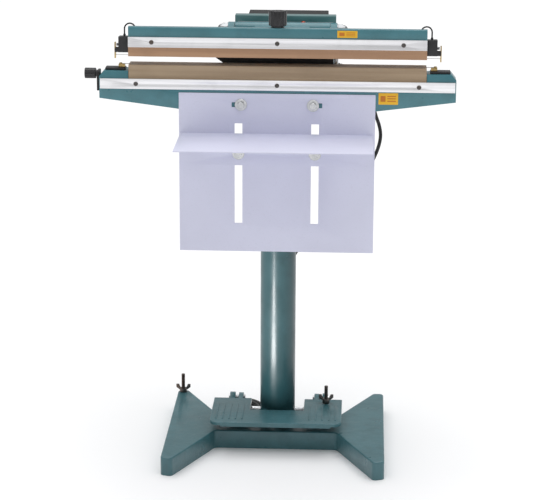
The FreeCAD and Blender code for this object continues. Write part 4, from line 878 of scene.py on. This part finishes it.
def upper_leads():
    """Two insulated leads that arch over the ends of the arm into the terminal blocks."""
    low, high = closed_box("upper_leads")
    radius = 1.6 * MM
    y = (low.y + high.y) / 2
    work = bmesh.new()
    for side in (-1, 1):
        outer = high.x - radius
        inner = closed_box("upper_arm")[1].x - 12 * MM
        half = (outer - inner) / 2
        spots = [(side * inner, y, low.z + (high.z - radius - half - low.z) * step / 6) for step in range(6)]
        for step in range(17):
            angle = math.pi * step / 16
            spots.append((side * ((inner + outer) / 2 - half * math.cos(angle)), y,
                          high.z - radius - half + half * math.sin(angle)))
        foot = closed_box("upper_terminal_blocks")[1].z
        top = high.z - radius - half
        spots += [(side * outer, y, top + (foot - top) * step / 5) for step in range(1, 6)]
        tube(work, spots, radius, 16)
        boot = [(0, 0), (radius * 1.5, 0), (radius * 1.7, 1 * MM), (radius * 1.7, 4 * MM),
                (radius * 1.25, 5 * MM), (0, 5 * MM)]
        turned(work, boot, (side * outer, y, foot - 0.5 * MM), (0, 0, 1), 20)
    dress(piece_from("upper_lead_wires", work, 60), "arm", "lead_rubber", "rubber", "upper_leads",
          swung=True)


# ---------------- fasteners, studs and knobs

def cross_recess(work_mesh_name, radius, height, spot, along):
    """Pan head with a cross recess cut into it."""
    work = bmesh.new()
    dome = [(0, 0), (radius, 0), (radius, height * 0.3)]
    for step in range(1, 7):
        angle = math.radians(90 * step / 6)
        dome.append((radius * (0.45 + 0.55 * math.cos(angle)), height * (0.3 + 0.7 * math.sin(angle))))
    dome.append((0, height))
    turned(work, dome, spot, along, 40)
    head = piece_from(work_mesh_name, work, 40)
    cutter_work = bmesh.new()
    put = Matrix.Translation(Vector(spot)) @ axis_turn(along)
    for turn in (0, 90):
        arm = Matrix.Rotation(math.radians(turn), 4, "Z") @ Matrix.Translation((0, 0, height * 0.35))
        slab(cutter_work, rounded_outline(radius * 1.25, radius * 0.3, radius * 0.05, 2), height, put @ arm)
    cutter = piece_from("recess_cutter", cutter_work, 40)
    cut = head.modifiers.new("recess", "BOOLEAN")
    cut.object = cutter
    cut.operation = "DIFFERENCE"
    cut.solver = "EXACT"
    cut.use_self = True
    bpy.context.view_layer.update()
    apply_modifiers(head)
    bpy.data.objects.remove(cutter)
    return head


def join_pieces(name, pieces, smooth=38):
    work = bmesh.new()
    for piece in pieces:
        work.from_mesh(piece.data)
        bpy.data.objects.remove(piece)
    return piece_from(name, work, smooth)


def strip_screws(node, strip, body, swung):
    """Three cross-head screws through a clamp strip."""
    low, high = closed_box(node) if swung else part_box(node)
    face = (closed_box(strip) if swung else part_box(strip))[0].y
    radius = (high.z - low.z) / 2
    places = [low.x + radius, 0, high.x - radius]
    heads = []
    for number, x in enumerate(places):
        heads.append(cross_recess(f"screw_{number}", radius, face - low.y, (x, face, (low.z + high.z) / 2),
                                  (0, -1, 0)))
    dress(join_pieces(f"{node}_heads", heads), body, "dark_steel", "dark", node, swung=swung)


def hexagon_bolt(work, spot, washer_radius, washer_height, flats, head_height, along=(0, -1, 0)):
    """Add a plain washer and a chamfered hexagon head."""
    turned(work, [(0, 0), (washer_radius - 0.3 * MM, 0), (washer_radius, 0.3 * MM),
                  (washer_radius, washer_height - 0.4 * MM), (washer_radius - 0.5 * MM, washer_height),
                  (0, washer_height)], spot, along, 64)
    corner = flats / 2 / math.cos(math.pi / 6)
    head = Vector(spot) + Vector(along) * washer_height
    turned(work, [(0, 0), (corner, 0), (corner, head_height * 0.72), (corner * 0.93, head_height * 0.9),
                  (corner * 0.84, head_height), (corner * 0.45, head_height),
                  (corner * 0.4, head_height * 0.94), (0, head_height * 0.94)],
           head, along, 72, hexagonal(flats))


def table_bolts(node, body, with_nut):
    """Bolts of the hanging plate or of the shelf, with the nuts behind the shelf's ones."""
    low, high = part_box(node)
    washer_radius = 12.5 * MM
    washer_height = 2 * MM
    head_height = 5.5 * MM
    z = (low.z + high.z) / 2
    face = low.y + head_height + washer_height
    work = bmesh.new()
    for x in (low.x + washer_radius, high.x - washer_radius):
        hexagon_bolt(work, (x, face, z), washer_radius, washer_height, 13 * MM, head_height)
        if with_nut:
            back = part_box("table_plate")[1].y
            hexagon_bolt(work, (x, back, z), washer_radius, washer_height, 13 * MM, 6.5 * MM, (0, 1, 0))
        threaded(work, 4 * MM, 1.25 * MM, 0, high.y - face - 0.6 * MM, (x, face, z), (0, 1, 0))
    dress(piece_from(f"{node}_turned", work, 32), body, "plated_steel", "plated", node)


def stud(node):
    """Threaded stud standing in the base."""
    low, high, middle = box_and_middle(node)
    work = bmesh.new()
    threaded(work, (high.x - low.x) / 2, 1.25 * MM, low.z, high.z - 0.6 * MM, (middle.x, middle.y, 0))
    dress(piece_from(f"{node}_threads", work, 32), "stand", "dark_steel", "dark", node)


def hinge_dome_nuts():
    """Chromed dome nuts with their washers on both ends of the arm's hinge shaft."""
    low, high, middle = box_and_middle("hinge_dome_nuts")
    work = bmesh.new()
    for side in (-1, 1):
        end = high.x if side > 0 else low.x
        seat = end - side * 23.5 * MM
        profile = [(0, 0), (13 * MM, 0), (13 * MM, 2 * MM), (12.5 * MM, 2.2 * MM), (12.5 * MM, 11.6 * MM),
                   (11.4 * MM, 12.8 * MM)]
        turned(work, profile[:3] + [(0, 2 * MM)], (seat, middle.y, middle.z), (side, 0, 0), 64)
        turned(work, [(0, 2 * MM)] + profile[3:] + [(0, 12.8 * MM)], (seat, middle.y, middle.z), (side, 0, 0),
               72, hexagonal(21.6 * MM))
        cap = [(10.4 * MM, 12.4 * MM)]
        for step in range(1, 13):
            angle = math.radians(90 * step / 12)
            cap.append((10.4 * MM * math.cos(angle), 12.8 * MM + 10.6 * MM * math.sin(angle)))
        turned(work, [(0, 12.4 * MM)] + cap[:-1] + [(0, cap[-1][1])], (seat, middle.y, middle.z),
               (side, 0, 0), 64)
    dress(piece_from("hinge_dome_nuts_polished", work, 40), "stand", "bright_chrome", "chrome",
          "hinge_dome_nuts")


def knob_profile(radius, height, edge, neck=None, dish=0.0):
    """Turned outline of a knob with rounded rims and a slightly dished crown."""
    spots = [(0, 0)]
    if neck:
        spots += [(neck, 0), (neck, 3 * MM)]
        base = 3 * MM
    else:
        base = 0
    for step in range(5):
        angle = math.radians(-90 + 90 * step / 4)
        spots.append((radius - edge + edge * math.cos(angle), base + edge + edge * math.sin(angle)))
    for step in range(5):
        angle = math.radians(90 * step / 4)
        spots.append((radius - edge + edge * math.cos(angle), height - edge + edge * math.sin(angle)))
    spots += [(radius * 0.72, height), (radius * 0.66, height - dish), (0, height - dish)]
    return spots


def arm_hand_knob():
    """Fluted black knob on the beam's middle."""
    low, high, middle = box_and_middle("arm_hand_knob", swung=True)
    top = closed_box("upper_arm")[1].z + 0.4 * MM
    radius = (high.x - low.x) / 2
    work = bmesh.new()
    turned(work, knob_profile(radius, high.z - top, 2.2 * MM, radius - 5 * MM, 1.2 * MM),
           (middle.x, middle.y, top), (0, 0, 1), 120, fluted(radius, 1.1 * MM, 12))
    dress(piece_from("arm_hand_knob_fluted", work, 50), "arm_knob", "knob_plastic", "knob",
          "arm_hand_knob", swung=True)


def end_knob():
    """Knurled clamp knob on the left end of the lower arm, with its threaded stud."""
    low, high, middle = box_and_middle("end_knob")
    radius = (high.z - low.z) / 2
    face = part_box("end_bracket")[0].x
    work = bmesh.new()
    turned(work, knob_profile(radius, face - low.x, 1.4 * MM, 7 * MM, 0.9 * MM),
           (face - 0.2 * MM, middle.y, middle.z), (-1, 0, 0), 144, fluted(radius, 0.8 * MM, 18))
    threaded(work, 4 * MM, 1.25 * MM, 0, high.x - face, (face, middle.y, middle.z), (1, 0, 0))
    dress(piece_from("end_knob_knurled", work, 50), "end_knob", "knob_plastic", "knob", "end_knob")


def timer_knob():
    """Timer knob with a skirt and a pointer line, and the ticks printed round it."""
    low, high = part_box("timer_knob")
    radius = (high.x - low.x) / 2
    spot = Vector(((low.x + high.x) / 2, 0, (low.z + high.z) / 2))
    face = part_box("legend_plate")[0].y
    height = face - low.y - 0.6 * MM
    base = (spot.x, face - 0.6 * MM, spot.z)
    work = bmesh.new()
    turned(work, [(0, 0), (radius, 0), (radius, 1.4 * MM), (radius - 1.2 * MM, 2 * MM), (0, 2 * MM)], base,
           (0, -1, 0), 72)
    turned(work, knob_profile(radius - 2 * MM, height, 0.9 * MM, None, 0.4 * MM), base, (0, -1, 0), 120,
           fluted(radius - 2 * MM, 0.7 * MM, 20))
    dress(piece_from("timer_knob_fluted", work, 50), "timer", "black_plastic", "black", "timer_knob")
    line = bmesh.new()
    put = Matrix.Translation((spot.x, low.y + 0.02 * MM, spot.z + radius * 0.45)) @ axis_turn((0, -1, 0))
    slab(line, rounded_outline(1.2 * MM, radius * 0.6, 0.5 * MM, 3), 0.25 * MM, put)
    dress(piece_from("timer_pointer_line", line), "timer", "legend_enamel", "white_ink")
    ticks = bmesh.new()
    count = 11
    for number in range(count):
        angle = math.radians(-135 + 270 * number / (count - 1))
        out = radius + 3.4 * MM
        place = Vector((spot.x + out * math.sin(angle), face, spot.z + out * math.cos(angle)))
        turn = Matrix.Rotation(angle, 4, Vector((0, 1, 0)))
        size = (0.7 + 0.05 * number) * MM
        slab(ticks, rounded_outline(size, 3.2 * MM, 0.25 * MM, 2), 0.12 * MM,
             Matrix.Translation(place) @ turn @ axis_turn((0, -1, 0)))
    dress(piece_from("timer_scale_ticks", ticks), "stand", "legend_enamel", "ink_black")


def pilot_lamp():
    """Domed red lens in a slim bezel."""
    low, high, middle = box_and_middle("pilot_lamp")
    radius = (high.x - low.x) / 2
    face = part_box("legend_plate")[0].y
    work = bmesh.new()
    height = face - low.y
    profile = [(0, -12 * MM), (4.8 * MM, -12 * MM), (4.8 * MM, 0), (radius, 0.1 * MM), (radius, 1.2 * MM),
               (radius - 0.8 * MM, 1.6 * MM)]
    for step in range(7):
        angle = math.radians(90 * step / 6)
        profile.append(((radius - 1.1 * MM) * math.cos(angle) if step < 6 else 0,
                        2 * MM + (height - 2 * MM) * math.sin(angle)))
    turned(work, profile, (middle.x, face, middle.z), (0, -1, 0), 56)
    dress(piece_from("pilot_lamp_lens", work, 40), "stand", "lamp_lens", "lamp", "pilot_lamp")


def switch_trip_screw():
    """Threaded screw under the arm that works the limit switch, with its lock nut."""
    low, high, middle = box_and_middle("switch_trip_screw", swung=True)
    work = bmesh.new()
    threaded(work, 3 * MM, 1.0 * MM, low.z + 1 * MM, high.z, (middle.x, middle.y, 0))
    corner = 6 * MM
    turned(work, [(0, -5 * MM), (corner * 0.86, -5 * MM), (corner, -4.4 * MM), (corner, 0), (0, 0)],
           (middle.x, middle.y, high.z), (0, 0, 1), 72, hexagonal(10.4 * MM))
    dress(piece_from("switch_trip_screw_threads", work, 32), "arm", "plated_steel", "plated",
          "switch_trip_screw", swung=True)


# ---------------- plain labels

def plain_label(name, x_range, z_range, y, body, swung):
    """Yellow plate with a plain block and three plain bars instead of any wording."""
    width, height = x_range[1] - x_range[0], z_range[1] - z_range[0]
    put = Matrix.Translation((sum(x_range) / 2, y, sum(z_range) / 2)) @ axis_turn((0, -1, 0))
    work = bmesh.new()
    slab(work, rounded_outline(width, height, 1 * MM, 4), 0.3 * MM, put)
    dress(piece_from(name, work), body, "legend_enamel", "yellow", swung=swung)
    marks = bmesh.new()
    raised = put @ Matrix.Translation((0, 0, 0.3 * MM))
    left = raised @ Matrix.Translation((-width * 0.27, 0, 0))
    slab(marks, rounded_outline(width * 0.26, height * 0.5, 0.8 * MM, 3), 0.06 * MM, left)
    for share in (-0.2, 0.02, 0.22):
        bar = raised @ Matrix.Translation((width * 0.17, height * share, 0))
        slab(marks, rounded_outline(width * 0.44, height * 0.09, 0.3 * MM, 2), 0.06 * MM, bar)
    dress(piece_from(f"{name}_marks", marks), body, "legend_enamel", "ink", swung=swung)


def labels():
    arm_low, arm_high = closed_box("upper_arm")
    plain_label("arm_label", (0.122, 0.163), (arm_high.z - 18 * MM, arm_high.z - 3.6 * MM), arm_low.y,
                "arm", True)
    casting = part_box("lower_arm")[0].y
    clear_of_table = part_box("table_plate")[1].x + 6 * MM
    plain_label("casting_label", (clear_of_table, clear_of_table + 40 * MM), (0.763, 0.787), casting,
                "stand", False)


def cover_screws():
    """Small cross-head screws on the rear cover's sides."""
    low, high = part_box("rear_cover")
    heads = []
    for side, x in ((-1, low.x), (1, high.x)):
        for y in (low.y + 12 * MM, low.y + 66 * MM):
            spot = (x, y, low.z + 9 * MM)
            heads.append(cross_recess("cover_screw", 3.2 * MM, 1.6 * MM, spot, (side, 0, 0)))
    dress(join_pieces("cover_screw_heads", heads), "stand", "dark_steel", "dark")


def make_pieces():
    mains_cord()
    finish_frame_pieces()
    sealing_cloth("lower_sealing_cloth", "sealing_cloth", "lower_cloth", "stand", True, False)
    sealing_cloth("upper_sealing_cloth", "sealing_cloth", "upper_cloth", "arm", False, True)
    return_spring()
    electrode_springs()
    upper_leads()
    strip_screws("lower_strip_screws", "lower_clamp_strip", "stand", False)
    strip_screws("upper_strip_screws", "upper_clamp_strip", "arm", True)
    table_bolts("table_bolts", "stand", False)
    table_bolts("shelf_bolts", "shelf", True)
    stud("levelling_stud")
    stud("pedal_stop_stud")
    hinge_dome_nuts()
    arm_hand_knob()
    end_knob()
    timer_knob()
    pilot_lamp()
    switch_trip_screw()
    labels()
    cover_screws()


make_camera()
make_paints()
make_pieces()
make_studio()
